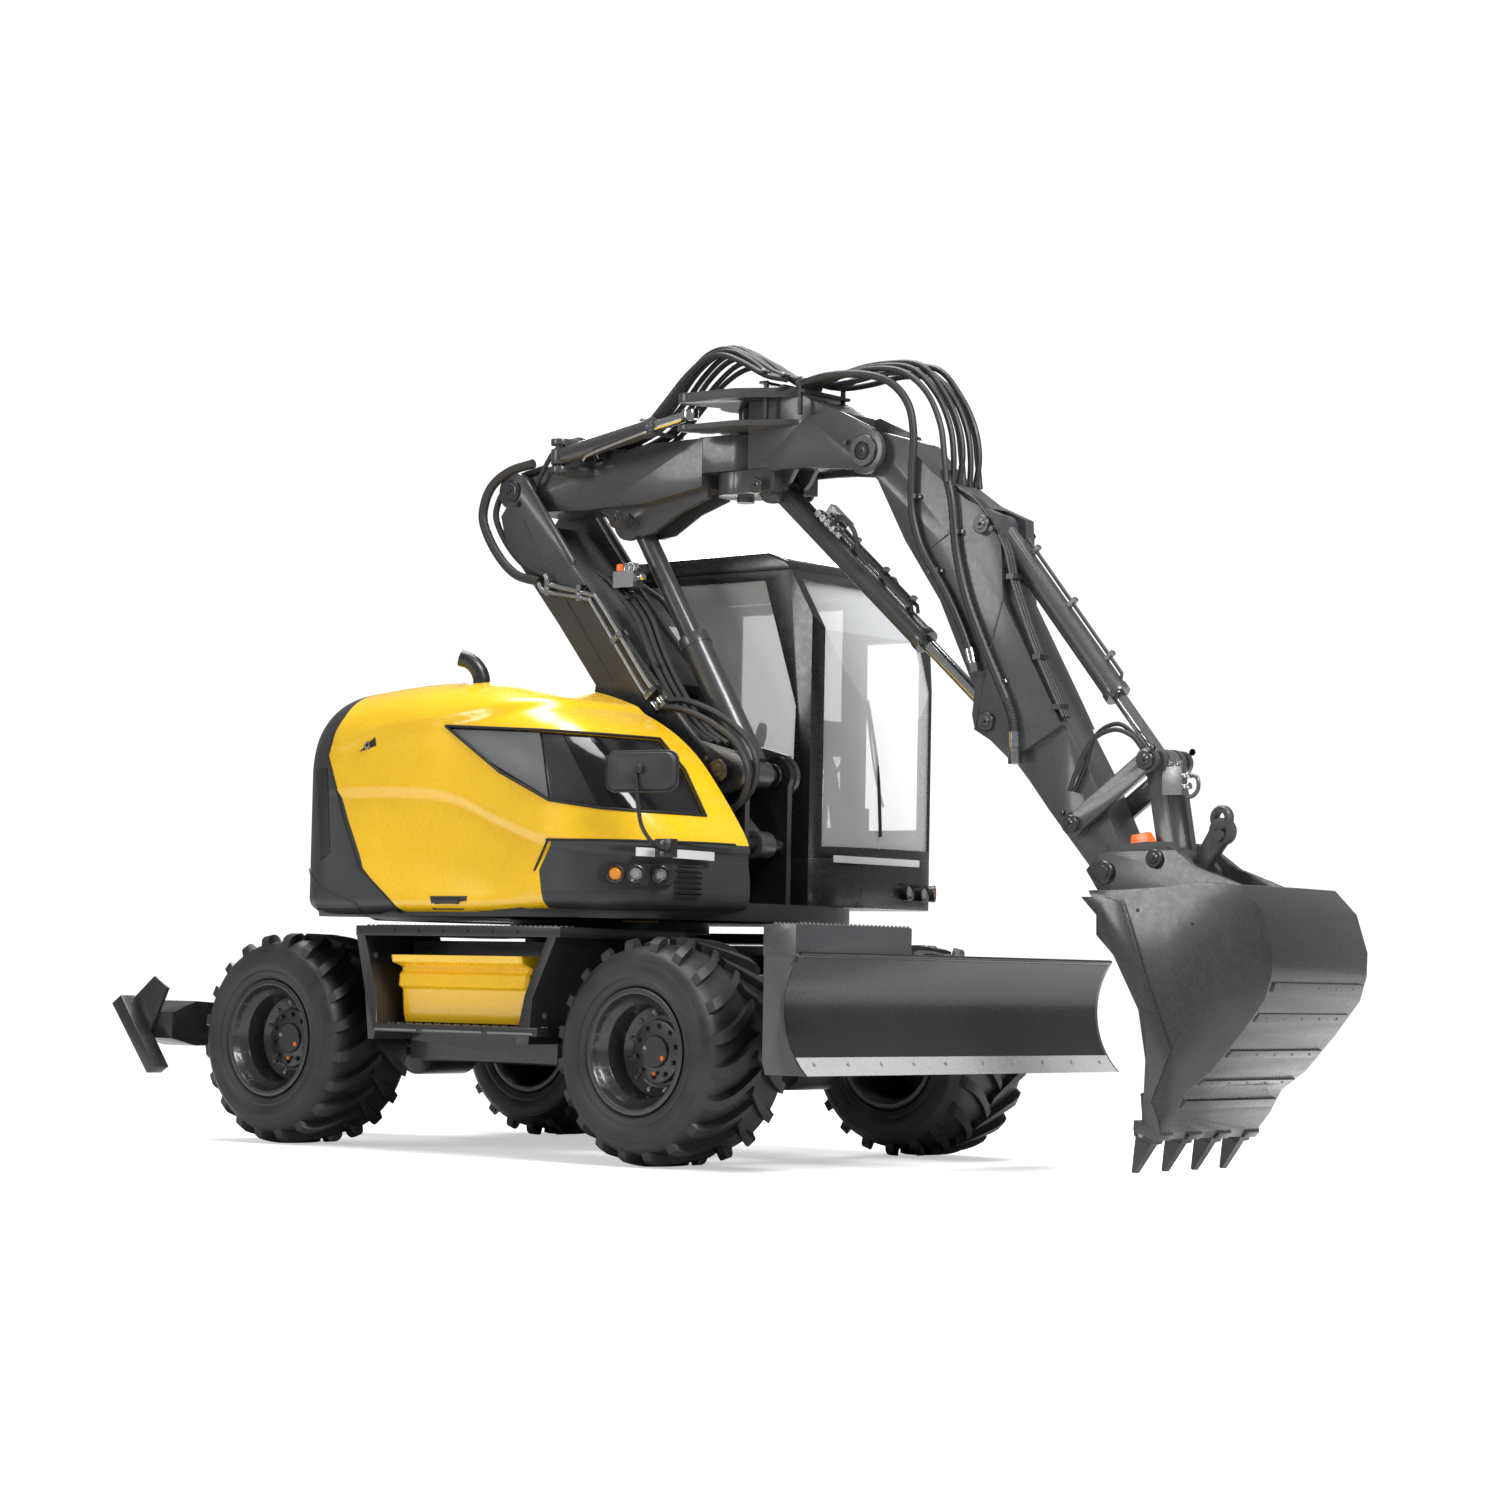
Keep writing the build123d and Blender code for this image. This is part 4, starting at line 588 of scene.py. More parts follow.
def tread_bar(side, start):
    """One bar from the middle over the shoulder; start is its angle on the wheel."""
    verts, faces = [], []
    for k in range(BAR_STEPS + 1):
        t = k / BAR_STEPS
        across = -14 + BAR_REACH * t
        swing = 0.335 * (1 - (1 - t) ** 1.6)
        low = 500 - 12 * t - 70 * max(0, t - 0.70) ** 1.4 * 3.2
        high = 544.5 - 3 * t * t - 95 * max(0, t - 0.58) ** 1.5
        if t > SHOULDER:
            across = -14 + BAR_REACH * SHOULDER + (t - SHOULDER) * 120
            high -= (t - SHOULDER) * 330
        half = (19 + 9 * t) / 540
        for angle, radius in ((swing - half * 1.35, low), (swing - half, high), (swing + half, high),
                              (swing + half * 1.35, low)):
            verts.append((radius * cos(start + angle), side * across, radius * sin(start + angle)))
    for k in range(BAR_STEPS):
        for j in range(3):
            faces.append((k * 4 + j, k * 4 + j + 1, (k + 1) * 4 + j + 1, (k + 1) * 4 + j))
    last = BAR_STEPS * 4
    return verts, faces + [(0, 3, 2, 1), (last, last + 1, last + 2, last + 3)]


def add_tyre(corner, x, hand):
    tyre = Shape(TYRE)
    tyre.lathe(SIDE_WALL + tuple((-across, radius) for across, radius in reversed(SIDE_WALL[:-1])), (0, 0, 0),
               segments=96)
    for row in range(TREAD_ROWS):
        for side, turn in ((-1, 0), (1, 0.5)):
            tyre.add(*tread_bar(side, (row + turn) * 2 * pi / TREAD_ROWS))
    middle = Vector((x, hand * WHEEL_Y, WHEEL_Z))
    tyre.verts = [Vector((v.x, hand * v.y, hand * v.z)) + middle for v in tyre.verts]
    tyre.build("tyre_" + corner + "_treaded", "wheel_" + corner, angle=24, replaces="tyre_" + corner)


def add_wheel_bolts(corner, x, hand):
    bits = Shape(RIM_BLACK, STEEL, ORANGE)
    for count, radius, across, out, mat in ((10, 122, 20, 2, 0), (12, 190, 24, -36, 1)):
        for k in range(count):
            a = 2 * pi * k / count + 0.2
            place = (x + radius * cos(a), hand * (HUB_FACE + out), WHEEL_Z + radius * sin(a))
            bits.bolt(place, across, 15, (0, hand, 0), mat)
    bits.disc((x, hand * (HUB_FACE + 6), WHEEL_Z), 78, 16, mat=0, segments=40, chamfer=5)
    for dx, dz, radius, thick, mat in ((52, -30, 13, 8, 2), (4, -104, 10, 10, 2), (-58, 16, 13, 8, 1)):
        bits.disc((x + dx, hand * (HUB_FACE + 14), WHEEL_Z + dz), radius, thick, mat=mat, segments=16)
    valve = [(x + r * cos(0.8), hand * y, WHEEL_Z + r * sin(0.8)) for r, y in ((262, 1200), (240, 1228))]
    bits.tube(valve, 6, 8, 1, 0)
    bits.build("wheel_bolts_" + corner, "wheel_" + corner)


for corner, x, hand in WHEELS:
    add_tyre(corner, x, hand)
    edged("rim_" + corner, 3)
    add_wheel_bolts(corner, x, hand)

# Smooth skin of the upper body: the rounded form that the flat-sided solids outline
FLANK = 1220
CORNER_X, CORNER_Y, CORNER_RADIUS = 600, 560, 660
TAIL_RADIUS = 1560
SKIN_LOW = 1170
SPINE_Y, SPINE_Z, SPINE_BACK = -340, 1500, -706
VIEW = Vector((CAMERA["x"], CAMERA["y"], CAMERA["z"]))
# Roof line in a table of (x, height), the flank's crease and upper fold, and where tail and console end
TOP_LINE = (
    # x, height of the roof
    (-1700, 1880), (-1560, 2075), (-1350, 2222), (-1100, 2300), (-700, 2346), (-150, 2366), (150, 2340),
    (350, 2286),
    (550, 2212), (720, 2122), (850, 2024), (950, 1922), (1100, 1735), (1240, 1538), (1400, 1300),
)
CREASE = ((-1000, 1800), (-414, 1803), (11, 1765), (359, 1640), (684, 1545), (1300, 1500))
FOLD = ((-768, 2026), (-591, 2083), (-381, 2124), (-100, 2142), (90, 2172), (400, 2230), (700, 2290))
TAIL_SPLIT = ((-780, 2600), (-795, 2200), (-870, 2000), (-735, 1660), (-616, 1420), (-284, 1165),
              (-200, 1100))
CONSOLE_SPLIT = ((640, 1100), (640, 1165), (601, 1405), (684, 1551), (1500, 1551))
WINDOW = (
    # (x, z) in the plane of the flank
    (-29, 2125), (620, 2086), (1008, 2055), (1391, 2021), (1551, 1870), (1687, 1652), (1018, 1700),
    (684, 1744),
    (351, 1887),
)


def table(points, x):
    """Smooth interpolation in a table of (x, value)."""
    if x <= points[0][0]:
        return points[0][1]
    for i in range(len(points) - 1):
        if x <= points[i + 1][0]:
            (x0, y0), (x1, y1) = points[i], points[i + 1]
            before = points[i - 1] if i else points[0]
            after = points[i + 2] if i + 2 < len(points) else points[-1]
            m0 = (y1 - before[1]) / (x1 - before[0]) if x1 != before[0] else 0
            m1 = (after[1] - y0) / (after[0] - x0) if after[0] != x0 else 0
            h = x1 - x0
            t = (x - x0) / h
            return ((2 * t ** 3 - 3 * t * t + 1) * y0 + (t ** 3 - 2 * t * t + t) * h * m0
                    + (-2 * t ** 3 + 3 * t * t) * y1 + (t ** 3 - t * t) * h * m1)
    return points[-1][1]


def soft_max(a, b, width):
    """The larger of two, rounded where they are nearly alike."""
    h = max(width - abs(a - b), 0) / width
    return max(a, b) + h * h * width / 4


def step(low, high, x):
    """Rises smoothly from 0 at low to 1 at high."""
    t = min(max((x - low) / (high - low), 0), 1)
    return t * t * (3 - 2 * t)


def skin_gap(x, y, z):
    """Distance outside the upper body's skin, negative inside."""
    side = abs(y)
    if x <= CORNER_X:
        plan = side - FLANK
    elif side > CORNER_Y:
        plan = sqrt((x - CORNER_X) ** 2 + (side - CORNER_Y) ** 2) - CORNER_RADIUS
    else:
        plan = x - CORNER_X - CORNER_RADIUS
    plan = soft_max(plan, sqrt(x * x + y * y) - TAIL_RADIUS, 60)
    slope = (table(TOP_LINE, x + 10) - table(TOP_LINE, x - 10)) / 20
    roof = (z - table(TOP_LINE, x)) / sqrt(1 + slope * slope)
    shoulder = 90 + 310 * step(1050, 500, x) if x > 500 else 400
    gap = soft_max(soft_max(plan, roof, shoulder), SKIN_LOW - z, 110)
    if y < -300:
        above, fold = z - table(CREASE, x), z - table(FOLD, x)
        ledge = -30 * step(26, -26, above) * step(-1000, -700, x) * step(-560, -300, above)
        ledge += 20 * step(-34, 34, fold) * step(420, 80, fold) * step(-1000, -760, x)
        gap += 20 * step(1260, 1168, z) - ledge
    return gap


def cast(origin, direction, far=2600):
    """Where a ray from inside leaves the skin."""
    near = 0.0
    for k in range(18):
        mid = (near + far) / 2
        if skin_gap(*(origin + direction * mid)) < 0:
            near = mid
        else:
            far = mid
    return origin + direction * near


def skin_y(x, z, out=0.0):
    """Where the line of sight through (x, z) on the flank's plane meets the skin, moved out by a distance."""
    base = Vector((x, -FLANK, z))
    line = (base - VIEW).normalized()
    near = -40.0
    while near < 900 and skin_gap(*(base + line * (near + 20))) > 0:
        near += 20
    far = near + 20
    for k in range(16):
        mid = (near + far) / 2
        if skin_gap(*(base + line * mid)) < 0:
            far = mid
        else:
            near = mid
    point = base + line * far
    if out:
        reach = 6
        steps = [Vector([reach if k == axis else 0 for k in range(3)]) for axis in range(3)]
        slope = Vector([skin_gap(*(point + away)) - skin_gap(*(point - away)) for away in steps])
        point += slope.normalized() * out
    return point


def skin_plan():
    """Places round the body in plan, right side first, each with its share of the tail's way or None."""
    front = CORNER_X + CORNER_RADIUS
    outer = [((front, SPINE_Y - (CORNER_Y + SPINE_Y) * k / 18), None) for k in range(18)]
    outer += [(on_corner(CORNER_RADIUS, -90 * k / 26), None) for k in range(26)]
    outer += [((CORNER_X - 1572 * k / 100, -FLANK), None) for k in range(100)]
    start, end = atan2(-FLANK, -972), atan2(FLANK, -972) - 2 * pi
    for k in range(71):
        a = start + (end - start) * k / 70
        outer.append(((TAIL_RADIUS * cos(a), TAIL_RADIUS * sin(a)), k / 70))
    return outer


def skin_grid():
    """Columns of points of the skin, on rays from a spine inside it."""
    rows = []
    for (x, y), tail in skin_plan():
        if tail is None:
            spine = Vector((min(max(x * 0.94, SPINE_BACK), 760), SPINE_Y, SPINE_Z))
        else:
            spine = Vector((SPINE_BACK, SPINE_Y + 1480 * tail, SPINE_Z))
        out = Vector((x, y, SPINE_Z)) - spine
        flat = out.normalized() if out.length > 1 else Vector((1, 0, 0))
        heights = [SKIN_LOW + 3 + (SPINE_Z - SKIN_LOW - 3) * k / 20 for k in range(20)]
        column = [cast(Vector((spine.x, spine.y, z)), flat) for z in heights]
        for k in range(91):
            a = pi / 2 * k / 90
            column.append(cast(spine, flat * cos(a) + Vector((0, 0, 1)) * sin(a)))
        rows.append(column)
    for shift in (90, 180, 270):
        rows.append([Vector((max(v.x, min(v.x + shift, -702)), v.y, v.z)) for v in rows[-1]])
    return rows


def on_corner(radius, degrees):
    """Plan place near the rounded front right corner, at a distance from its centre."""
    a = radians(degrees)
    return CORNER_X + radius * cos(a), -CORNER_Y + radius * sin(a)


def side_of(points, x, z):
    """Which x the polyline has at a height, for a line that runs up or down."""
    for (x0, z0), (x1, z1) in zip(points, points[1:]):
        if min(z0, z1) <= z <= max(z0, z1) and z0 != z1:
            return x0 + (x1 - x0) * (z - z0) / (z1 - z0)
    return points[0][0]


def skin_part(x, y, z):
    """0 hood, 1 tail, 2 console."""
    if y > SPINE_Y or x < side_of(TAIL_SPLIT, x, z):
        return 1
    return 2 if z < 1551 and x > side_of(CONSOLE_SPLIT[:4], x, z) else 0


def sighted(point):
    """(x, z) at which the line of sight to a point passes the flank's plane, None where no window can be."""
    if point.y > -300 or point.z < 1500:
        return None
    line = point - VIEW
    spot = VIEW + line * ((-FLANK - VIEW.y) / line.y)
    return spot.x, spot.z


def near_window(point):
    spot = sighted(point)
    return spot is not None and -120 < spot[0] < 1800 and 1500 < spot[1] < 2250


def in_window(point):
    """Whether the line of sight to a point passes within the window's outline."""
    spot = sighted(point)
    if spot is None:
        return False
    x, z = spot
    inside = False
    for (x0, z0), (x1, z1) in zip(WINDOW, WINDOW[1:] + WINDOW[:1]):
        if (z0 > z) != (z1 > z) and x < x0 + (x1 - x0) * (z - z0) / (z1 - z0):
            inside = not inside
    return inside


def cut_faces(shape, faces, place, normal):
    """Splits some faces of a shape along a plane."""
    geom = list({v for f in faces for v in f.verts}) + list({e for f in faces for e in f.edges}) + faces
    bmesh.ops.bisect_plane(shape, geom=geom, plane_co=place, plane_no=normal, dist=0.05)


def cut_skin():
    """The whole skin, split along the lines of tail and console, with the window open."""
    rows = skin_grid()
    height = len(rows[0])
    mesh = bpy.data.meshes.new("skin")
    verts = [Vector((v.x, min(v.y, FLANK), max(v.z, SKIN_LOW + 2))) for column in rows for v in column]
    faces = [(i * height + j, (i + 1) * height + j, (i + 1) * height + j + 1, i * height + j + 1)
             for i in range(len(rows) - 1) for j in range(height - 1)]
    mesh.from_pydata(verts, [], faces)
    shape = bmesh.new()
    shape.from_mesh(mesh)
    bmesh.ops.remove_doubles(shape, verts=shape.verts, dist=0.5)
    for line in (TAIL_SPLIT, CONSOLE_SPLIT):
        for (x0, z0), (x1, z1) in zip(line, line[1:]):
            normal = Vector((x1 - x0, 0, z1 - z0)).normalized().cross(Vector((0, 1, 0)))
            near = []
            for face in shape.faces:
                x, y, z = face.calc_center_median()
                beside = min(x0, x1) - 90 < x < max(x0, x1) + 90 and min(z0, z1) - 60 < z < max(z0, z1) + 60
                if beside and y < -300:
                    near.append(face)
            cut_faces(shape, near, (x0, 0, z0), normal)
    frame_line = [Vector((x, -FLANK, z)) for x, z in WINDOW]
    for p0, p1 in zip(frame_line, frame_line[1:] + frame_line[:1]):
        normal = (p0 - VIEW).cross(p1 - VIEW).normalized()
        cut_faces(shape, [f for f in shape.faces if near_window(f.calc_center_median())], VIEW, normal)
    bmesh.ops.delete(shape, geom=[f for f in shape.faces if in_window(f.calc_center_median())],
                     context="FACES")
    return shape


def add_skin():
    pieces = (
        # name, body, node that it stands for, material, material below the lower edge
        ("hood_skin", "hood", "engine_hood", (YELLOW, BLACK)),
        ("tail_skin", "turret", "counterweight", (TAIL_GREY, BLACK)),
        ("console_skin", "turret", "front_console", (SOFT_PLASTIC, PLASTIC)),
    )
    whole = cut_skin()
    parts = [Shape(*mats) for name, body, node_name, mats in pieces]
    seen = [{} for part in parts]
    for face in whole.faces:
        centre = face.calc_center_median()
        index = skin_part(*centre)
        part, loop = parts[index], []
        for vert in face.verts:
            key = tuple(round(c, 2) for c in vert.co)
            if key not in seen[index]:
                seen[index][key] = len(part.verts)
                part.verts.append(vert.co.copy())
            loop.append(seen[index][key])
        part.faces.append((tuple(loop), 1 if index == 2 and centre.z < 1300 else 0))
    whole.free()
    for part, (name, body, node_name, mats) in zip(parts, pieces):
        mesh = part.mesh(name)
        thick = bmesh.new()
        thick.from_mesh(mesh)
        bmesh.ops.recalc_face_normals(thick, faces=thick.faces)
        middle = at(200, -600, 1500)
        outward = sum(1 if (f.calc_center_median() - middle).dot(f.normal) > 0 else -1 for f in thick.faces)
        if outward < 0:
            bmesh.ops.reverse_faces(thick, faces=thick.faces)
        bmesh.ops.solidify(thick, geom=thick.faces, thickness=0.012)
        thick.to_mesh(mesh)
        thick.free()
        finish_piece(mesh, name, body, 40, node_name)


def divided(points, spacing):
    """Places along a polyline in (x, z), about a spacing apart, without its last point."""
    made = []
    for (x0, z0), (x1, z1) in zip(points, points[1:]):
        count = max(1, int(sqrt((x1 - x0) ** 2 + (z1 - z0) ** 2) / spacing))
        made.extend((x0 + (x1 - x0) * k / count, z0 + (z1 - z0) * k / count) for k in range(count))
    return made


def on_skin(points, out=0.0, spacing=30):
    """Points of a polyline in (x, z) carried onto the right flank."""
    return [skin_y(x, z, out) for x, z in (*divided(points, spacing), points[-1])]


def skin_patch(shape, outline, out, mat):
    """A thin raised patch on the flank, over an outline of (x, z) points."""
    edge = divided([*outline, outline[0]], 28)
    flat = bmesh.new()
    flat.faces.new([flat.verts.new((x, 0, z)) for x, z in edge])
    for axis, normal in ((0, (1, 0, 0)), (1, (0, 0, 1))):
        low, high = min(p[axis] for p in edge), max(p[axis] for p in edge)
        for k in range(1, int((high - low) / 45) + 1):
            geom = list(flat.verts) + list(flat.edges) + list(flat.faces)
            bmesh.ops.bisect_plane(flat, geom=geom, plane_co=Vector(normal) * (low + 45 * k), plane_no=normal,
                                   dist=0.01)
    flat.verts.ensure_lookup_table()
    flat.verts.index_update()
    lifted = [skin_y(v.co.x, v.co.z, out) for v in flat.verts]
    sunk = [skin_y(v.co.x, v.co.z, min(out, 0) - 8) for v in flat.verts]
    count = len(lifted)
    faces = [tuple(v.index for v in f.verts) for f in flat.faces]
    rim = [tuple(v.index for v in e.verts) for e in flat.edges if len(e.link_faces) == 1]
    sides = [(a, b, b + count, a + count) for a, b in rim]
    flat.free()
    shape.add(lifted + sunk, faces + sides, mat)


def add_hood_window():
    trim = Shape(BLACK, GRILLE, DARK_PANE, BLANK, YELLOW, PLASTIC)
    skin_patch(trim, WINDOW, -16, 0)
    skin_patch(trim, [(13, 2109), (607, 2077), (670, 1759), (350, 1907), (58, 2033)], -6, 3)
    skin_patch(trim, [(627, 2071), (760, 2063), (999, 1715), (697, 1749)], -7, 1)
    skin_patch(trim, [(773, 2057), (1008, 2041), (1372, 2012), (1533, 1861), (1655, 1667), (1018, 1714)],
               -8, 2)
    trim.build("hood_window_panes", "hood", angle=30, replaces="hood_window")


def add_hood_seals():
    seal = Shape(RUBBER_SEAL)
    seal.tube(on_skin([(-790, 2210), (-870, 2000), (-735, 1660), (-616, 1420), (-284, 1176)], 1), 6, 8, 0, 0)
    front = [skin_y(x, z, 1) for x, z in ((640, 1182), (601, 1405), (684, 1551))]
    front += [Vector((*on_corner(CORNER_RADIUS + 1, -84 + 90 * k / 21), 1551)) for k in range(22)]
    seal.tube(front, 6, 8, 0, 0)
    seal.tube(on_skin([*WINDOW, WINDOW[0]], 2, 25), 7, 8, 0, 0)
    seal.build("hood_seals", "hood")


def add_hood_fittings():
    """Handle, pull recess and lifting eye of the hood."""
    trims = Shape(BLACK, PLASTIC, STEEL, YELLOW)
    skin_patch(trims, [(-110, 1278), (150, 1278), (128, 1212), (-88, 1212)], 2, 0)
    trims.tube(on_skin([(-60, 1250), (-20, 1252), (60, 1252), (100, 1250)], 14, 20), 10, 8, 1, 4)
    skin_patch(trims, [(-640, 2012), (-530, 2085), (-520, 2040)], 2, 0)
    trims.lathe(((-6, 9), (6, 9), (10, 13), (6, 20), (-6, 20), (-6, 9)), skin_y(-575, 2042, 6),
                (0, -1, 0.15), 20, 2)
    trims.build("hood_fittings", "hood", angle=30)


add_skin()
add_hood_window()
add_hood_seals()
add_hood_fittings()

# The solids' own forms, with broken edges
EDGED = (
    # node, width of the broken edge in mm
    ("chassis_frame", 4), ("side_steps", 3), ("stabiliser_leg_left", 5), ("stabiliser_leg_right", 5),
    ("turret_frame", 5), ("base_link", 5), ("rear_boom", 4), ("boom_head", 4), ("stick", 5),
    ("tipping_levers", 4),
    ("bucket_link", 4), ("quick_hitch", 3), ("cab_base", 5), ("cab_frame", 5), ("cab_roof", 14),
    ("cab_door", 4), ("knuckle_left", 4), ("knuckle_right", 4), ("front_axle", 4), ("rear_axle", 4),
    ("blade_lower_arms", 5), ("blade_upper_arms", 5), ("left_cover", 16), ("blade", 3), ("bucket", 3),
    ("lift_cylinder", 3), ("lift_rod", 3), ("link_cylinder", 3), ("link_rod", 2), ("offset_cylinder", 3),
    ("offset_rod", 2), ("stick_cylinder", 3), ("stick_rod", 2), ("bucket_cylinder", 3), ("bucket_rod", 2),
    ("blade_cylinder", 3),
)
TEETH_CUT = ((3600, 0, 236), (-0.3, 0, -0.95))

for name, width in EDGED:
    edged(name, width, TEETH_CUT if name == "bucket" else None)


def pin_set(shape, place, radius, y0, y1, turn=None):
    """Pin ends on both sides of a joint at (x, z), with keeper bolts where turn gives their direction."""
    x, z = place
    for y, side in ((y0, -1), (y1, 1)):
        shape.disc((x, y + side * 7, z), radius, 16, segments=40, chamfer=5)
        shape.disc((x, y + side * 15, z), radius * 0.58, 8, segments=32, mat=1, chamfer=2)
        shape.lathe(((0, radius * 0.5), (3, radius * 0.44), (3, 0)), (x, y + side * 19, z), (0, side, 0),
                    32, 1)
        shape.lathe(((0, 0), (0, 9), (8, 9), (10, 6), (10, 0)), (x, y + side * 20, z), (0, side, 0), 12, 0)
        if turn is not None:
            reach = radius * 1.5
            shape.bolt((x + reach * cos(turn), y + side * 6, z + reach * sin(turn)), 24, 14, (0, side, 0), 0)


def fitting(shape, place, radius, toward, length=46, mat=0):
    """Hose end: a ribbed ferrule and a hexagon nut."""
    shape.lathe(((0, 0), (0, radius * 1.25), (length * 0.5, radius * 1.25), (length * 0.52, radius * 1.05),
                 (length * 0.62, radius * 1.05), (length * 0.62, 0)), place, toward, 16, mat)
    far = Vector(place) + Vector(toward).normalized() * length * 0.62
    shape.lathe(((0, 0), (0, radius * 1.5), (length * 0.38, radius * 1.5), (length * 0.38, 0)), far, toward,
                6, mat)


PIN_ENDS = (
    # piece, body, then for each pin its place, radius, right face, left face, keeper's direction
    ("base_pins", "turret", (BASE_PIN, 62, -300, 120, 2.4)),
    ("top_pin", "base_link", (TOP_PIN, 58, -226, 226, -1.0)),
    ("lift_pin", "rear_boom", (LIFT_EYE, 46, -182, 182, None)),
    ("stick_pins", "stick", (BUCKET_FOOT, 46, -160, 160, -0.4), (STICK_EYE, 46, -142, 142, None),
     (LEVER_PIN, 44, -176, 176, 2.2), (BUCKET_PIN, 48, -156, 156, None)),
    ("link_pins", "tipping_levers", (LINK_PIN, 46, -160, 160, 0.9)),
)


def add_pins():
    for name, body, *pins in PIN_ENDS:
        shape = Shape(BLACK, PIN)
        for pin in pins:
            pin_set(shape, *pin)
        shape.build(name, body, angle=35)
    head = Shape(BLACK, PIN)
    pin_set(head, STICK_PIN, 80, -201, 201, 2.7)
    pin_set(head, STICK_FOOT, 40, -202, 202)
    for z, up in ((3865, 1), (3570, -1)):
        head.disc((OFFSET_HINGE_X, 0, z), 62, 20, (0, 0, 1), 40, 0, 6)
        head.disc((OFFSET_HINGE_X, 0, z + up * 14), 34, 12, (0, 0, 1), 32, 1, 3)
    head.build("head_pins", "boom_head", angle=35)


def flat(points, y):
    """Points of a route in (x, z), all at one y."""
    return [(x, y, z) for x, z in points]


def add_welds():
    for name, body, seams in (
            ("link_welds", "base_link", (
                ([(-470, -227, 3300), (-330, -227, 3040), (-150, -227, 2850), (180, -227, 2420)], 0),
                ([(-300, -227, 3290), (-120, -227, 3060), (340, -227, 2520), (770, -227, 2080)], 0))),
            ("stick_welds", "stick", (
                ([(2594, -141, 2718), (2500, -141, 2400), (2441, -141, 2103)], 3),
                ([(2080, -141, 2950), (2330, -141, 3090)], 0)))):
        weld = Shape(CHARCOAL)
        for route, smooth in seams:
            weld.tube(route, 4, 6, 0, smooth)
        weld.build(name, body)
    bar = Shape(CHARCOAL)
    for y in (-246, 226):
        bar.plate([(-478, 3520), (-456, 3528), (-84, 3062), (-92, 3040), (-110, 3036)], y, y + 20)
    bar.build("link_stiffeners", "base_link", 4)


def add_link_pipes():
    """Two bent pipes on the base link's right cheek, with their clamps and end nuts."""
    y = -262
    pipes = Shape(STEEL, CHROME, BLACK)
    for shift in (0, 44):
        route = ((-320 + shift, 2950 + shift), (-264 + shift, 2903 + shift * 0.7),
                 (20 + shift * 0.4, 2850 + shift * 0.5), (80 + shift, 2800 + shift * 0.4),
                 (395 + shift, 2393 + shift * 0.6), (470 + shift, 2318 + shift * 0.6))
        pipes.tube(flat(route, y), 13, 12)
    for x, z, turn in ((-264, 2908, 0.0), (-40, 2868, 0.0), (230, 2624, -0.9), (470, 2330, -0.9)):
        place = Matrix.Translation(Vector((x + 22, y + 4, z + 14))) @ Matrix.Rotation(-turn, 4, "Y")
        pipes.block((-16, -24, -42), (16, 30, 42), 1, place)
        pipes.bolt((x + 22, y - 22, z + 14), 20, 10, (0, -1, 0), 1, False)
    for x, z in ((500, 2292), (540, 2312)):
        fitting(pipes, (x, y, z), 15, (0.7, 0, -0.72), 60, 1)
    pipes.build("link_pipes", "base_link", angle=35)


def add_foot_hoses():
    """Two hoses in a loop from the base link's pipes to the turret."""
    route = ((540, 2262), (640, 2262), (760, 2232), (914, 2166), (1067, 2061), (1140, 1930), (1110, 1800),
             (1010, 1716), (900, 1680))
    foot = Shape(HOSE, STEEL)
    for k in range(2):
        foot.tube([(x + k * 18, -262 + 44 * k, z + k * 40) for x, z in route], 17, 10, 0, 5)
    foot.build("foot_hoses", None, between=("base_link", "turret", (760, -200, 2200), (1120, -200, 1850)))


def add_inner_hoses():
    """The bundle inside the base link."""
    bundle = Shape(HOSE, BLACK)
    for k, y in enumerate((-180, -150, -120, -90, 112)):
        sag = 26 * (k % 3)
        route = ((40 + sag * 0.4, 2990 - sag), (120 + sag * 0.6, 2940 - sag), (196 + sag, 2860),
                 (305 + sag, 2738), (414 + sag, 2526), (556 + sag, 2315), (700 + sag, 2160),
                 (830 + sag, 2080))
        bundle.tube(flat(route, y), 16, 10, 0, 5)
    for x, z in ((210, 2880), (420, 2520), (640, 2220)):
        bundle.block((x - 20, -192, z - 36), (x + 44, -74, z - 18), 1)
    bundle.build("inner_link_hoses", "base_link")


def add_lift_valves():
    valves = Shape(CHROME, STEEL, ORANGE, BLACK)
    valves.block((150, -200, 2905), (290, -120, 2990), 1)
    valves.disc((168, -160, 3010), 26, 44, (0, 0, 1), 20, 2, 6)
    for x in (200, 232, 264):
        fitting(valves, (x, -160, 2990), 12, (0.2, 0, 1))
    fitting(valves, (290, -160, 2950), 12, (1, 0, 0.2), 40)
    fitting(valves, (150, -160, 2940), 12, (-1, 0, 0.1), 40)
    valves.build("lift_valves", "base_link", angle=35)


def add_top_hoses():
    """Four short hoses over the base link's top pin, on the rear boom."""
    top = Shape(HOSE, CHROME, BLACK)
    for k in range(4):
        y, odd = -190 + 60 * k, k % 2
        route = ((-420, 3480), (-372 + 6 * k, 3560), (-295, 3655 + 20 * odd), (-180, 3700 + 16 * odd),
                 (-70, 3670),
                 (10, 3610))
        top.tube(flat(route, y), 13)
        fitting(top, (10, y, 3606), 14, (0.4, 0, -0.9), 44, 1)
    top.block((-120, -200, 3590), (70, 40, 3636), 2)
    top.build("top_hoses", "rear_boom")


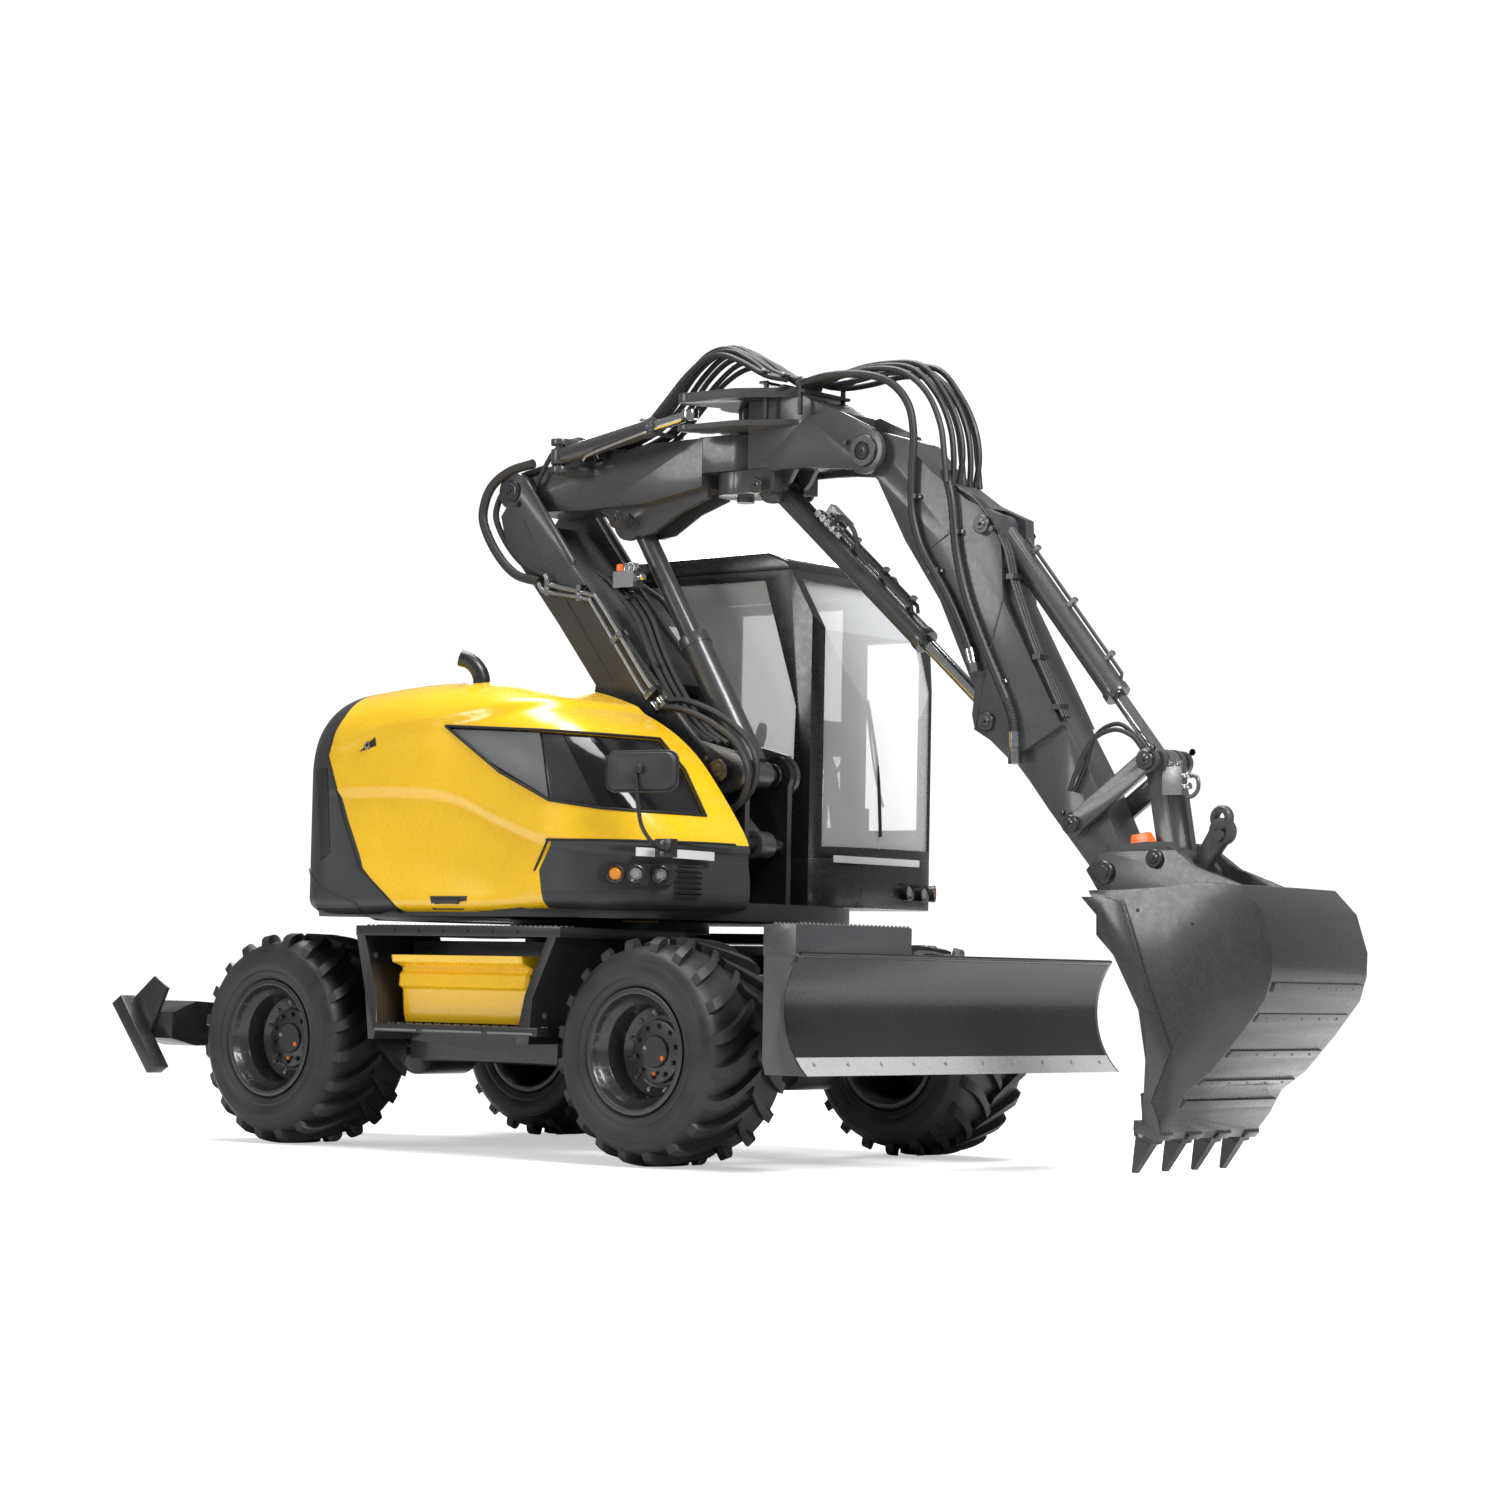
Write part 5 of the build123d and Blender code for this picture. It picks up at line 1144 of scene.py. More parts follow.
def add_rear_loop_hoses():
    """The two wide loops behind the base link's top."""
    big = Shape(HOSE, STEEL)
    big.tube([(-330, -246, 2960), (-500, -250, 3010), (-640, -250, 3130), (-740, -250, 3290),
              (-742, -248, 3400),
              (-690, -240, 3500), (-580, -225, 3568), (-430, -205, 3600)], 25, 14, 0, 8)
    big.tube([(-300, -236, 2990), (-470, -214, 3060), (-600, -205, 3170), (-690, -205, 3310),
              (-690, -200, 3400),
              (-640, -190, 3480), (-540, -170, 3545), (-400, -150, 3580)], 17, 12, 0, 8)
    big.build("rear_loop_hoses", None, between=("base_link", "rear_boom", (-640, -200, 3260),
                                                (-480, -200, 3560)))


ARCH_LANES = (
    # y, lift above the arch's own line, radius
    (-215, -55, 15), (-182, -32, 15), (-150, -12, 16), (-116, -4, 16), (-82, -8, 15), (-48, -20, 15),
    (20, -30, 15),
    (54, -52, 14), (90, -80, 14),
)
ARCH = ((40, 3655), (180, 3690), (333, 3760), (470, 3880), (600, 4010), (740, 4096), (880, 4104),
        (1020, 4040),
        (1160, 3950), (1290, 3900))


def add_arch_hoses():
    """The hoses that arch over the offset hinge, main hose among them."""
    arch = Shape(HOSE, BLACK, STEEL)
    for y, lift, radius in ARCH_LANES:
        route = []
        for k, (x, z) in enumerate(ARCH):
            share = sin(pi * k / (len(ARCH) - 1))
            route.append((x + 14 * sin(y * 0.3 + k), y * (1 - 0.1 * share), z + lift * (0.25 + 0.75 * share)))
        arch.tube(route, radius)
    arch.build("arch_hoses", None, between=("rear_boom", "boom_head", (560, 0, 3900), (1080, 0, 3900)),
               replaces="main_hose")


def add_hose_racks():
    """Clamps that hold the arch's hoses down, in front of the offset hinge and behind it."""
    for name, body, places, y0, y1, half, low, high in (
            ("rear_hose_rack", "rear_boom", ((120, 3660), (330, 3745)), -205, 110, 16, -24, 14),
            ("head_hose_rack", "boom_head", ((1160, 3915), (1290, 3885), (1420, 3850)), -240, 130, 14, -26,
             16)):
        rack = Shape(BLACK, STEEL)
        for x, z in places:
            rack.block((x - 16, y0, z - 40), (x + 16, y1, z + low), 0)
            rack.block((x - half, y0, z + high), (x + half, y1, z + high + 10), 0)
            for y in (y0 + 7, y1 - 8) if body == "rear_boom" else (y0 + 10, y1 - 10):
                rack.bolt((x, y, z + high + 10), 18, 10, (0, 0, 1), 1)
        if body == "boom_head":
            for x in (1180, 1400):
                for y in (-226, 116):
                    rack.block((x - 10, y - 8, 3700), (x + 10, y + 8, 3890), 0)
        rack.build(name, body)


def add_head_loop_hoses():
    """Seven hoses from the boom head over the stick's pin."""
    drop = Shape(HOSE, BLACK)
    for k, y in enumerate((-180, -130, -84, -40, 8, 52, 92)):
        reach = 20 * (k % 3)
        route = ((1290, 3900), (1430, 3872), (1600, 3876 + reach), (1800, 3896 + reach),
                 (2000 + reach, 3866 + reach),
                 (2150 + reach, 3750), (2235 + reach, 3590), (2262 + reach, 3440), (2280, 3300))
        drop.tube(flat(route, y), 15)
    drop.build("head_loop_hoses", None, between=("boom_head", "stick", (1500, 0, 3880), (2200, 0, 3500)))


def add_stick_lines():
    """The hose on the stick's right side, its ribbed neighbour, three thin lines, and their clamps."""
    over = Shape(HOSE, STEEL, BLACK)
    over.tube([(1374, -215, 3854), (1560, -215, 3880), (1760, -200, 3872), (1930, -190, 3820),
               (2040, -180, 3700),
               (2070, -172, 3540), (2060, -168, 3400)], 20, 12, 0, 8)
    over.build("side_hose_head", None, between=("boom_head", "stick", (1560, 0, 3880), (2040, 0, 3620)))
    run = Shape(HOSE, STEEL, CHROME, BLACK)
    run.tube([(2060, -168, 3404), (2058, -166, 3290), (2066, -164, 3158), (2129, -164, 2983),
              (2272, -164, 2771),
              (2364, -164, 2608), (2420, -164, 2485)], 20, 12, 0, 8)
    fitting(run, (2420, -164, 2490), 22, (0.3, 0, -1), 120, 2)
    run.tube([(2253, -160, 3365), (2300, -162, 3215), (2335, -164, 2960), (2402, -164, 2727),
              (2506, -164, 2500),
              (2616, -164, 2287), (2672, -164, 2166), (2690, -164, 2080)], 21, 12, 0, 14, ribs=0.16)
    fitting(run, (2690, -164, 2084), 23, (0.05, 0, -1), 150, 2)
    for x, z in ((2060, 3250), (2200, 2880), (2320, 3060), (2590, 2330)):
        run.block((x - 30, -176, z - 12), (x + 30, -140, z + 12), 3)
        run.bolt((x + 34, -150, z), 16, 10, (0, -1, 0), 2)
    for y, mat in ((-134, 3), (-112, 3), (-90, 0)):
        route = ((2300, 3290), (2447, 3190), (2588, 2990), (2650, 2790), (2760, 2520), (2860, 2320),
                 (2950, 2150))
        run.tube(flat(route, y), 10, 10, mat)
    for x, z in ((2640, 2830), (2800, 2440), (2920, 2200)):
        run.block((x - 26, -146, z - 12), (x + 18, -76, z + 12), 3)
    run.build("stick_lines", "stick", angle=35)


def add_lever_hoses():
    arcs = Shape(HOSE, STEEL)
    for k, y in enumerate((-150, -112)):
        route = ((3000, 1800), (3040 + 12 * k, 1898), (3120, 2030 + 30 * k), (3240, 2080 + 30 * k),
                 (3340, 2050),
                 (3400, 1990))
        arcs.tube(flat(route, y), 11, 10, 0, 8)
    arcs.build("lever_hoses", None, between=("stick", "tipping_levers", (3050, 0, 1900), (3380, 0, 2020)))


def cylinder_axes(foot, eye):
    """Foot of a cylinder, the direction to its eye, and the direction square to it that points up."""
    foot = Vector((foot[0], 0, foot[1]))
    line = (Vector((eye[0], 0, eye[1])) - foot).normalized()
    return foot, line, Vector((-line.z, 0, line.x))


def add_offset_feed():
    offset = Shape(BLACK, STEEL, HOSE)
    offset.tube([(60, -352, 3560), (120, -356, 3590), (430, -356, 3658), (500, -350, 3672)], 9, 10, 1, 5)
    offset.build("offset_feed", "offset_barrel")


def add_stick_cylinder_lines():
    """Two feed pipes, their clamps, and the valve block with its ports and hose."""
    stick = Shape(CHARCOAL, STEEL, CHROME, HOSE)
    foot, line, up = cylinder_axes(STICK_FOOT, STICK_EYE)
    for y in (-30, 20):
        a, b = (foot + line * reach + up * 88 + Vector((0, y, 0)) for reach in (300, 1060))
        stick.tube([a - line * 20 - up * 26, a, b, b + line * 26 - up * 24], 10, 10, 0, 0)
    for reach in (560, 800, 1030):
        stick.block((-16, -46, -10), (16, 36, 10), 0, placed(foot + line * reach + up * 86, line))
    valve = foot + line * 400 + up * 96
    stick.block((-30, -54, -80), (14, 54, 80), 2, placed(valve, line))
    for k in (-60, -20, 20, 60):
        port = valve + line * k
        fitting(stick, (port.x, -66, port.z), 14, (0, -1, 0), 40, 2)
        fitting(stick, (port.x + up.x * 12, 10, port.z + up.z * 12), 11, (up.x, 0, up.z), 30, 1)
    stick.tube([valve + Vector(away) for away in ((40, -96, -30), (110, -120, 10), (190, -116, -60),
                                                  (210, -96, -170),
                                                  (240, -70, -230))], 12, 10, 3, 8)
    stick.build("stick_cylinder_lines", "stick_barrel", angle=35)


def add_bucket_cylinder_lines():
    bucket = Shape(CHARCOAL, STEEL, CHROME, HOSE)
    foot, line, up = cylinder_axes(BUCKET_FOOT, LINK_PIN)
    a, b = (foot + line * reach + up * 80 for reach in (150, 1010))
    bucket.tube([a - up * 24, a, b, b + line * 20 - up * 24], 9, 10, 0, 0)
    for reach in (220, 560, 900):
        bucket.block((-14, -30, -10), (14, 30, 10), 0, placed(foot + line * reach + up * 78, line))
    bucket.build("bucket_cylinder_lines", "bucket_barrel", angle=35)


add_pins()
add_welds()
add_link_pipes()
add_foot_hoses()
add_inner_hoses()
add_lift_valves()
add_top_hoses()
add_rear_loop_hoses()
add_arch_hoses()
add_hose_racks()
add_head_loop_hoses()
add_stick_lines()
add_lever_hoses()
add_offset_feed()
add_stick_cylinder_lines()
add_bucket_cylinder_lines()

# Undercarriage
STUD = ((0, 9), (6, 7), (6, 4), (-1, 4))
BOX_X = (-382, -362, -340, -250, 0, 68, 136, 390, 480, 500, 519)
BOX_FRONT = ((0, 985), (8, 950), (92, 925), (88, 905), (70, 890), (64, 830), (96, 815), (106, 700),
             (120, 650))


def add_step_treads():
    steps = Shape(BLACK, STEEL, TREAD)
    for side in (-1, 1):
        for k in range(34):
            for y in (1010, 1130):
                steps.lathe(STUD, (-440 + k * 33, side * (y + 60 * (k % 2)), 640), (0, 0, 1), 10, 2)
        for k in range(40):
            for y, shift in ((1080, 0), (1140, 16), (1200, 0)):
                steps.lathe(STUD, (-560 + k * 33 + shift, side * y, 1130), (0, 0, 1), 10, 2)
        for x in (-470, 700):
            for z in (700, 980):
                steps.bolt((x, side * 1228, z), 22, 10, (0, side, 0), 0)
        for k in range(6):
            steps.bolt((-330 + 170 * k, side * 1250, 1105), 16, 8, (0, side, 0), 0, False)
        for x0, x1 in ((-440, -150), (-110, 300), (340, 640)):
            steps.block((x0, side * 1250, 606), (x1, side * 1254, 616), 1)
    steps.build("step_treads", "chassis", angle=30)


def add_tool_box(side, name, replaces):
    """The box's pressed front in rows of points along x, closed at the back."""
    rows = []
    for x in BOX_X:
        edge = 14 if x in (BOX_X[0], BOX_X[-1]) else 0
        rows.append([(x, side * (1225 - depth * 0.9 - edge), z) for depth, z in BOX_FRONT])
    count, last = len(BOX_FRONT), len(rows) - 1
    verts = [p for row in rows for p in row] + [(x, side * 975, z) for row in rows for x, y, z in row]
    back = len(verts) // 2
    faces = [(i * count + j, (i + 1) * count + j, (i + 1) * count + j + 1, i * count + j + 1)
             for i in range(last) for j in range(count - 1)]
    for i in range(last):
        for j in (0, count - 1):
            near, far = i * count + j, (i + 1) * count + j
            faces.append((near, far, back + far, back + near))
    for i in (0, last):
        for j in range(count - 1):
            faces.append((i * count + j, i * count + j + 1, back + i * count + j + 1, back + i * count + j))
    box = Shape(YELLOW, BLACK, STEEL)
    box.add(verts, faces, 0)
    box.disc((70, side * 1146, 865), 20, 12, segments=24, mat=2, chamfer=3)
    box.disc((70, side * 1150, 865), 9, 18, segments=16, mat=1)
    for x in (-180, 320):
        box.disc((x, side * 1146, 865), 12, 10, segments=16)
    box.build(name, "chassis", 9, 3, replaces=replaces)


def add_axle_guards():
    guard = Shape(BLACK, STEEL)
    for x in (-1300, 1300):
        guard.block((x - 240, -330, 1010), (x + 240, 330, 1060), 0)
    guard.build("axle_guards", "chassis", 6)


def arc_through(a, b, c, steps):
    """Points on the arc through three (x, z) points."""
    (ax, az), (bx, bz), (cx, cz) = a, b, c
    d = 2 * (ax * (bz - cz) + bx * (cz - az) + cx * (az - bz))
    aa, bb, cc = ax * ax + az * az, bx * bx + bz * bz, cx * cx + cz * cz
    ux = (aa * (bz - cz) + bb * (cz - az) + cc * (az - bz)) / d
    uz = (aa * (cx - bx) + bb * (ax - cx) + cc * (bx - ax)) / d
    r = sqrt((ax - ux) ** 2 + (az - uz) ** 2)
    start, end = atan2(az - uz, ax - ux), atan2(cz - uz, cx - ux)
    if end - start > pi:
        end -= 2 * pi
    if start - end > pi:
        end += 2 * pi
    return [(ux + r * cos(start + (end - start) * k / steps), uz + r * sin(start + (end - start) * k / steps))
            for k in range(steps + 1)]


def add_blade_trim():
    """The mouldboard's satin face, its ground cutting edge in light grey paint that stands for the bare
    steel's reflection (painted reflection), and the toothed tread above it.
    """
    face = arc_through((2294, 1017), (2205, 760), (2343, 463), 28)
    blade = Shape(SATIN, EDGE_PAINTED_REFLECTION, BLACK, STEEL, TREAD)
    # The second strip, on the cutting edge, carries the painted reflection
    for mat, low, high, lift in ((0, 470, 1012, 2), (1, 463, 548, 7)):
        rows = [(x + lift, z) for x, z in face if low - 1 <= z <= high + 1]
        verts, faces = [], []
        for y in (-1252, 1252):
            verts.extend((x, y, z) for x, z in rows)
        for k in range(len(rows) - 1):
            faces.append((k, k + 1, len(rows) + k + 1, len(rows) + k))
        blade.add(verts, faces, mat)
    for y in (-1150, -900, -650, -400, -150, 150, 400, 650, 900, 1150):
        blade.disc((2312, y, 520), 9, 8, (1, 0, 0.4), 16, 1, 1)
    blade.tube([(2296, -1255, 1017), (2296, 1255, 1017)], 9, 8, 0, 0)
    for k in range(27):
        y = -1232 + 31 * k
        for x0, x1, x2 in ((2262, 2283, 2274), (2110, 2138, 2124)):
            blade.plate([(x0, 1150), (x1, 1150), (x2, 1160)], y, y + 12, 4)
    blade.disc((2180, -1272, 1078), 34, 4, mat=2, chamfer=1)
    blade.lathe(((0, 0), (0, 26), (5, 26), (7, 22), (7, 0)), (2268, -1267, 985), (0, -1, 0), 32, 2)
    blade.build("blade_face", "blade")


# Bucket and hitch
TOOTH = (
    # x and z of its middle line, half width, half depth
    (3612, 268, 46, 64), (3598, 215, 42, 52), (3590, 206, 26, 44), (3564, 140, 25, 27), (3534, 64, 21, 7),
)
TOOTH_Y = (-365, -122, 122, 365)


def add_tooth(bits, y):
    verts, faces = [], []
    for x, z, half, deep in TOOTH:
        for dy, dn in ((-half, -deep), (half, -deep), (half, deep), (-half, deep)):
            verts.append((x + dn * 0.93, y + dy, z - dn * 0.37))
    for k in range(len(TOOTH) - 1):
        for j in range(4):
            i = (j + 1) % 4
            faces.append((k * 4 + j, k * 4 + i, (k + 1) * 4 + i, (k + 1) * 4 + j))
    bits.add(verts, faces + [(0, 3, 2, 1), (16, 17, 18, 19)], 0)
    bits.disc((3590, y, 236), 14, 96, segments=16, mat=1)
    bits.plate([(3634, 268), (3645, 250), (3775, 374), (3768, 392), (3755, 392)], y - 26, y + 26, 0)


def add_bucket_studs():
    """Teeth, the bolts of the side cutters, and those of the wear strips on the back."""
    bits = Shape(BLACK, STEEL, CAST)
    for y in TOOTH_Y:
        add_tooth(bits, y)
    for side in (-1, 1):
        for x, z in ((3560, 1240), (3850, 1180), (3690, 520), (3600, 930)):
            bits.disc((x, side * 411, z), 8, 4, segments=16, chamfer=1)
    for x, z in ((4250, 905), (4165, 772), (4026, 610), (3885, 480)):
        for y in (-300, -150, 0, 150, 300):
            bits.disc((x + 3, y, z - 4), 7, 10, (0.8, 0, -0.6), 12, 0, 1)
    bits.build("bucket_studs", "bucket")


def add_hitch():
    """The orange lock, the pins and the load ring of the quick hitch."""
    lock = Shape(ORANGE, BLACK, STEEL)
    for y in (-146, 108):
        lock.plate([(3330, 1490), (3342, 1592), (3430, 1606), (3462, 1560), (3452, 1480)], y, y + 38, 0)
    lock.build("hitch_lock", "bucket", 6)
    hitch = Shape(BLACK, PIN, CAST)
    pin_set(hitch, TOOL_PIN, 44, -200, 200)
    x, z = BUCKET_PIN
    for side in (-1, 1):
        hitch.disc((x, side * 206, z), 52, 22, segments=40, chamfer=6)
        hitch.disc((x, side * 218, z), 30, 10, mat=1)
    hitch.lathe(((-22, 30), (-22, 52), (-12, 60), (12, 60), (22, 52), (22, 30), (-22, 30)), (3740, 0, 1670),
                (0.1, 1, 0), 40, 2)
    hitch.lathe(((-40, 0), (-40, 26), (40, 26), (40, 0)), (3740, 0, 1590), (0, 1, 0), 24, 2)
    hitch.build("hitch_pins", "bucket", angle=35)


def add_link_valve():
    valve = Shape(STEEL, CHROME, HOSE)
    valve.block((3486, -112, 1775), (3592, -62, 1905), 0)
    for z in (1810, 1860):
        fitting(valve, (3590, -88, z), 12, (1, 0, 0.2), 36, 1)
    for x in (3515, 3560):
        fitting(valve, (x, -88, 1903), 12, (0.1, 0, 1), 34, 1)
    valve.tube([(3622, -88, 1868), (3664, -92, 1850), (3672, -98, 1800), (3650, -104, 1770),
                (3622, -104, 1765)], 10,
               10, 2, 8)
    valve.build("link_valve", "bucket_link", 4)


# Console, tail, mirror and exhaust
LAMPS = (
    # x, y, z, facing angle, lens
    (1011, -1090, 1390, -52.4, 3), (1085, -1028, 1390, -43.8, 2), (1156, -934, 1390, -34.0, 2),
    (1222, 935, 1364, 6.0, 2), (1222, 1064, 1358, 6.0, 2), (1200, 1170, 1361, 30.0, 3),
)


def add_lamps():
    bits = Shape(BLACK, PALE, LENS, AMBER, CHROME, PLASTIC)
    for x, y, z, turn, lens in LAMPS:
        out = Vector((cos(radians(turn)), sin(radians(turn)), 0))
        mid = Vector((x, y, z)) + out * 24
        bits.lathe(((-50, 40), (0, 46), (8, 44), (10, 38), (2, 33), (-20, 20), (-24, 0)), mid, out, 40, 0)
        bits.lathe(((-14, 31), (-2, 31), (5, 24), (8, 12), (9, 0)), mid, out, 40, lens)
        bits.lathe(((-20, 0), (-20, 16), (-12, 16), (-12, 0)), mid, out, 24, 4)
    bits.build("lamp_units", "turret", angle=35, replaces="work_lamps")
    # Flat black oval round the lamps, 3 mm out on the console: black surround with the shade of the lamps'
    # recess painted in
    oval, count = Shape(BLACK), 22
    ring = []
    for k in range(count + 1):
        share = k / count
        ring.append((*on_corner(CORNER_RADIUS + 3, -60 + 34 * share),
                     52 * sqrt(max(0.02, 1 - (2 * share - 1) ** 6))))
    verts = [(x, y, 1390 + sign * tall) for sign in (1, -1) for x, y, tall in ring]
    oval.add(verts, [(k, k + 1, count + 2 + k, count + 1 + k) for k in range(count)])
    oval.build("lamp_recess_painted_shade", "turret")


def add_plates():
    """The blank plates of cab and console, and the louvres beside the lamps."""
    front = (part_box("cab_base")[1][0] - SLEW_X) * 1000
    plate = Shape(PALE)
    plate.block((front - 4, 320, 1496), (front + 3, 1040, 1532))
    plate.build("cab_plate", "turret", 2)
    bits = Shape(PALE, BLACK, PLASTIC)
    columns = 9
    verts = []
    for out in (4, 9):
        for k in range(columns):
            x, y = on_corner(CORNER_RADIUS + out, -44 + 36 * k / 8)
            verts.extend(((x, y, 1520 - k * 1.5), (x, y, 1478 - k * 1.5)))
    count = 2 * columns
    faces = [(0, 1, count + 1, count), (count - 2, count - 1, 2 * count - 1, 2 * count - 2)]
    for k in range(0, count - 2, 2):
        for first in (k, count + k):
            faces.append((first, first + 1, first + 3, first + 2))
        for edge in (k, k + 1):
            faces.append((edge, edge + 2, count + edge + 2, count + edge))
    bits.add(verts, faces, 0)
    ring = [on_corner(CORNER_RADIUS - 4, degrees) for degrees in (-26, -20, -14)]
    for z in range(1440, 1284, -26):
        for (x0, y0), (x1, y1) in zip(ring, ring[1:]):
            bits.add([(x0, y0, z), (x1, y1, z), (x1 + 12, y1, z - 8), (x0 + 12, y0, z - 8), (x0, y0, z - 14),
                      (x1, y1, z - 14)], [(0, 1, 2, 3), (3, 2, 5, 4)], 1)
    bits.build("console_plate", "turret", angle=35)


def add_tail_slot():
    tail = Shape(BLACK, PLASTIC)
    skin_patch(tail, [(-955, 1930), (-872, 1934), (-838, 1500), (-900, 1462)], 3, 0)
    skin_patch(tail, [(-990, 1420), (-930, 1350), (-831, 1300), (-720, 1262), (-640, 1246), (-560, 1175),
                      (-900, 1175)],
               3, 1)
    tail.build("tail_lamp_slot", "turret")


def rounded(half_x, half_z, radius, steps=6):
    """Outline of a rectangle with round corners about its middle."""
    made = []
    for sign_x, sign_z, start in ((1, 1, 0), (-1, 1, 90), (-1, -1, 180), (1, -1, 270)):
        for k in range(steps + 1):
            a = radians(start + 90 * k / steps)
            made.append((sign_x * (half_x - radius) + radius * cos(a),
                         sign_z * (half_z - radius) + radius * sin(a)))
    return made


def add_mirror():
    mirror = Shape(PLASTIC, BLACK, CHROME, STEEL)
    turn = Matrix.Translation(Vector((1262, -1190, 1872))) @ Matrix.Rotation(radians(12), 4, "Z")
    outline = rounded(190, 92, 46)
    count = len(outline)
    verts = [(x * scale, y, z * scale) for scale, y in ((1.0, 8), (1.0, -8), (0.93, -30), (0.62, -42))
             for x, z in outline]
    faces = []
    for ring in range(3):
        for k in range(count):
            j = (k + 1) % count
            faces.append((ring * count + k, ring * count + j, (ring + 1) * count + j, (ring + 1) * count + k))
    mirror.add(verts, faces, 0, turn)
    mirror.faces.append((tuple(reversed(range(count))), 2))
    mirror.faces.append((tuple(range(3 * count, 4 * count)), 0))
    rim = [turn @ Vector((x * 1.02, -6, z * 1.02)) for x, z in outline]
    mirror.tube(rim + rim[:1], 7, 8, 1, 0, False)
    mirror.disc(turn @ Vector((10, -52, 10)), 22, 24, segments=24, mat=1, chamfer=4)
    mirror.tube([(1262, -1240, 1890), (1266, -1244, 1830), (1278, -1236, 1700), (1290, -1215, 1600),
                 (1300, -1130, 1520), (1275, -1010, 1500)], 10, 12, 1)
    mirror.block((1190, -1010, 1470), (1290, -960, 1560), 1)
    for z in (1540, 1490):
        mirror.bolt((1240, -1012, z), 18, 10, (0, -1, 0), 3)
    mirror.build("mirror_back", "hood", 2, replaces="mirror")


def add_exhaust():
    pipe = Shape(BLACK)
    pipe.tube([(-60, -940, 2290), (-60, -940, 2340), (-62, -942, 2390), (-78, -956, 2438), (-110, -978, 2474),
               (-150, -1006, 2490)], 43, 28, 0, 8)
    pipe.tube([(-148, -1005, 2489.5), (-151, -1007, 2490.6)], 34, 24, 0, 0)
    pipe.lathe(((0, 50), (14, 50), (16, 46), (16, 42)), (-60, -940, 2342), (0, 0, 1), 32, 0)
    pipe.build("exhaust_pipe", "hood", replaces="exhaust")


add_step_treads()
add_tool_box(-1, "tool_box_right", None)
add_tool_box(1, "tool_box_left", "tool_boxes")
add_axle_guards()
add_blade_trim()
add_mirror()
add_exhaust()
add_bucket_studs()
add_hitch()
add_link_valve()
add_lamps()
add_plates()
add_tail_slot()


# Inside of the cab
WHEEL_MIDDLE = Vector((800, 780, 2090))


def add_controls():
    """Side consoles with levers, steering column and wheel, screen and pedals."""
    inside = Shape(PLASTIC, SOFT_PLASTIC, BLACK, SEAT, CHROME)
    for y in (500, 940):
        inside.block((180, y, 1650), (520, y + 120, 1990), 0)
    for y in (505, 935):
        inside.block((220, y, 1990), (540, y + 120, 2030), 1)
    for y in (565, 1000):
        inside.tube([(500, y, 2030), (512, y, 2080), (528, y, 2150)], 14, 12, 2, 4)
        inside.lathe(((-70, 0), (-66, 22), (-20, 30), (40, 26), (62, 18), (66, 0)), (532, y, 2180),
                     (0.2, 0, 1), 20, 2)
    inside.tube([(900, 780, 1600), (870, 780, 1800), (830, 780, 2000), (800, 780, 2070)], 34, 14, 0, 4)
    inside.block((850, 700, 1600), (980, 860, 1640), 0)
    ring = [WHEEL_MIDDLE + Vector((36 * cos(a), 180 * sin(a), 120 * cos(a))) for a in
            (2 * pi * k / 32 for k in range(33))]
    inside.tube(ring, 13, 10, 2, 0, False)
    for a in (0.3, 2.4, 4.5):
        inside.tube([WHEEL_MIDDLE - Vector((0, 0, 10)),
                     WHEEL_MIDDLE + Vector((36 * cos(a), 170 * sin(a), 118 * cos(a)))],
                    9, 8, 2, 0)
    inside.block((1050, 360, 2050), (1090, 560, 2230), 2)
    inside.tube([(1070, 440, 1600), (1080, 440, 2060)], 14, 12, 0, 0)
    for y in (700, 860):
        inside.block((980, y - 45, 1640), (1000, y + 45, 1800), 2)
    inside.build("cab_inside", "turret", 5)


def add_wiper():
    trim = Shape(BLACK, PLASTIC, RUBBER_SEAL, CHROME)
    trim.tube([(1235, 700, 1640), (1215, 690, 2000), (1150, 680, 2350)], 9, 8, 0, 5)
    trim.tube([(1150, 668, 2350), (1140, 760, 2000), (1180, 790, 1800)], 6, 8, 2, 5)
    trim.build("wiper", "turret")


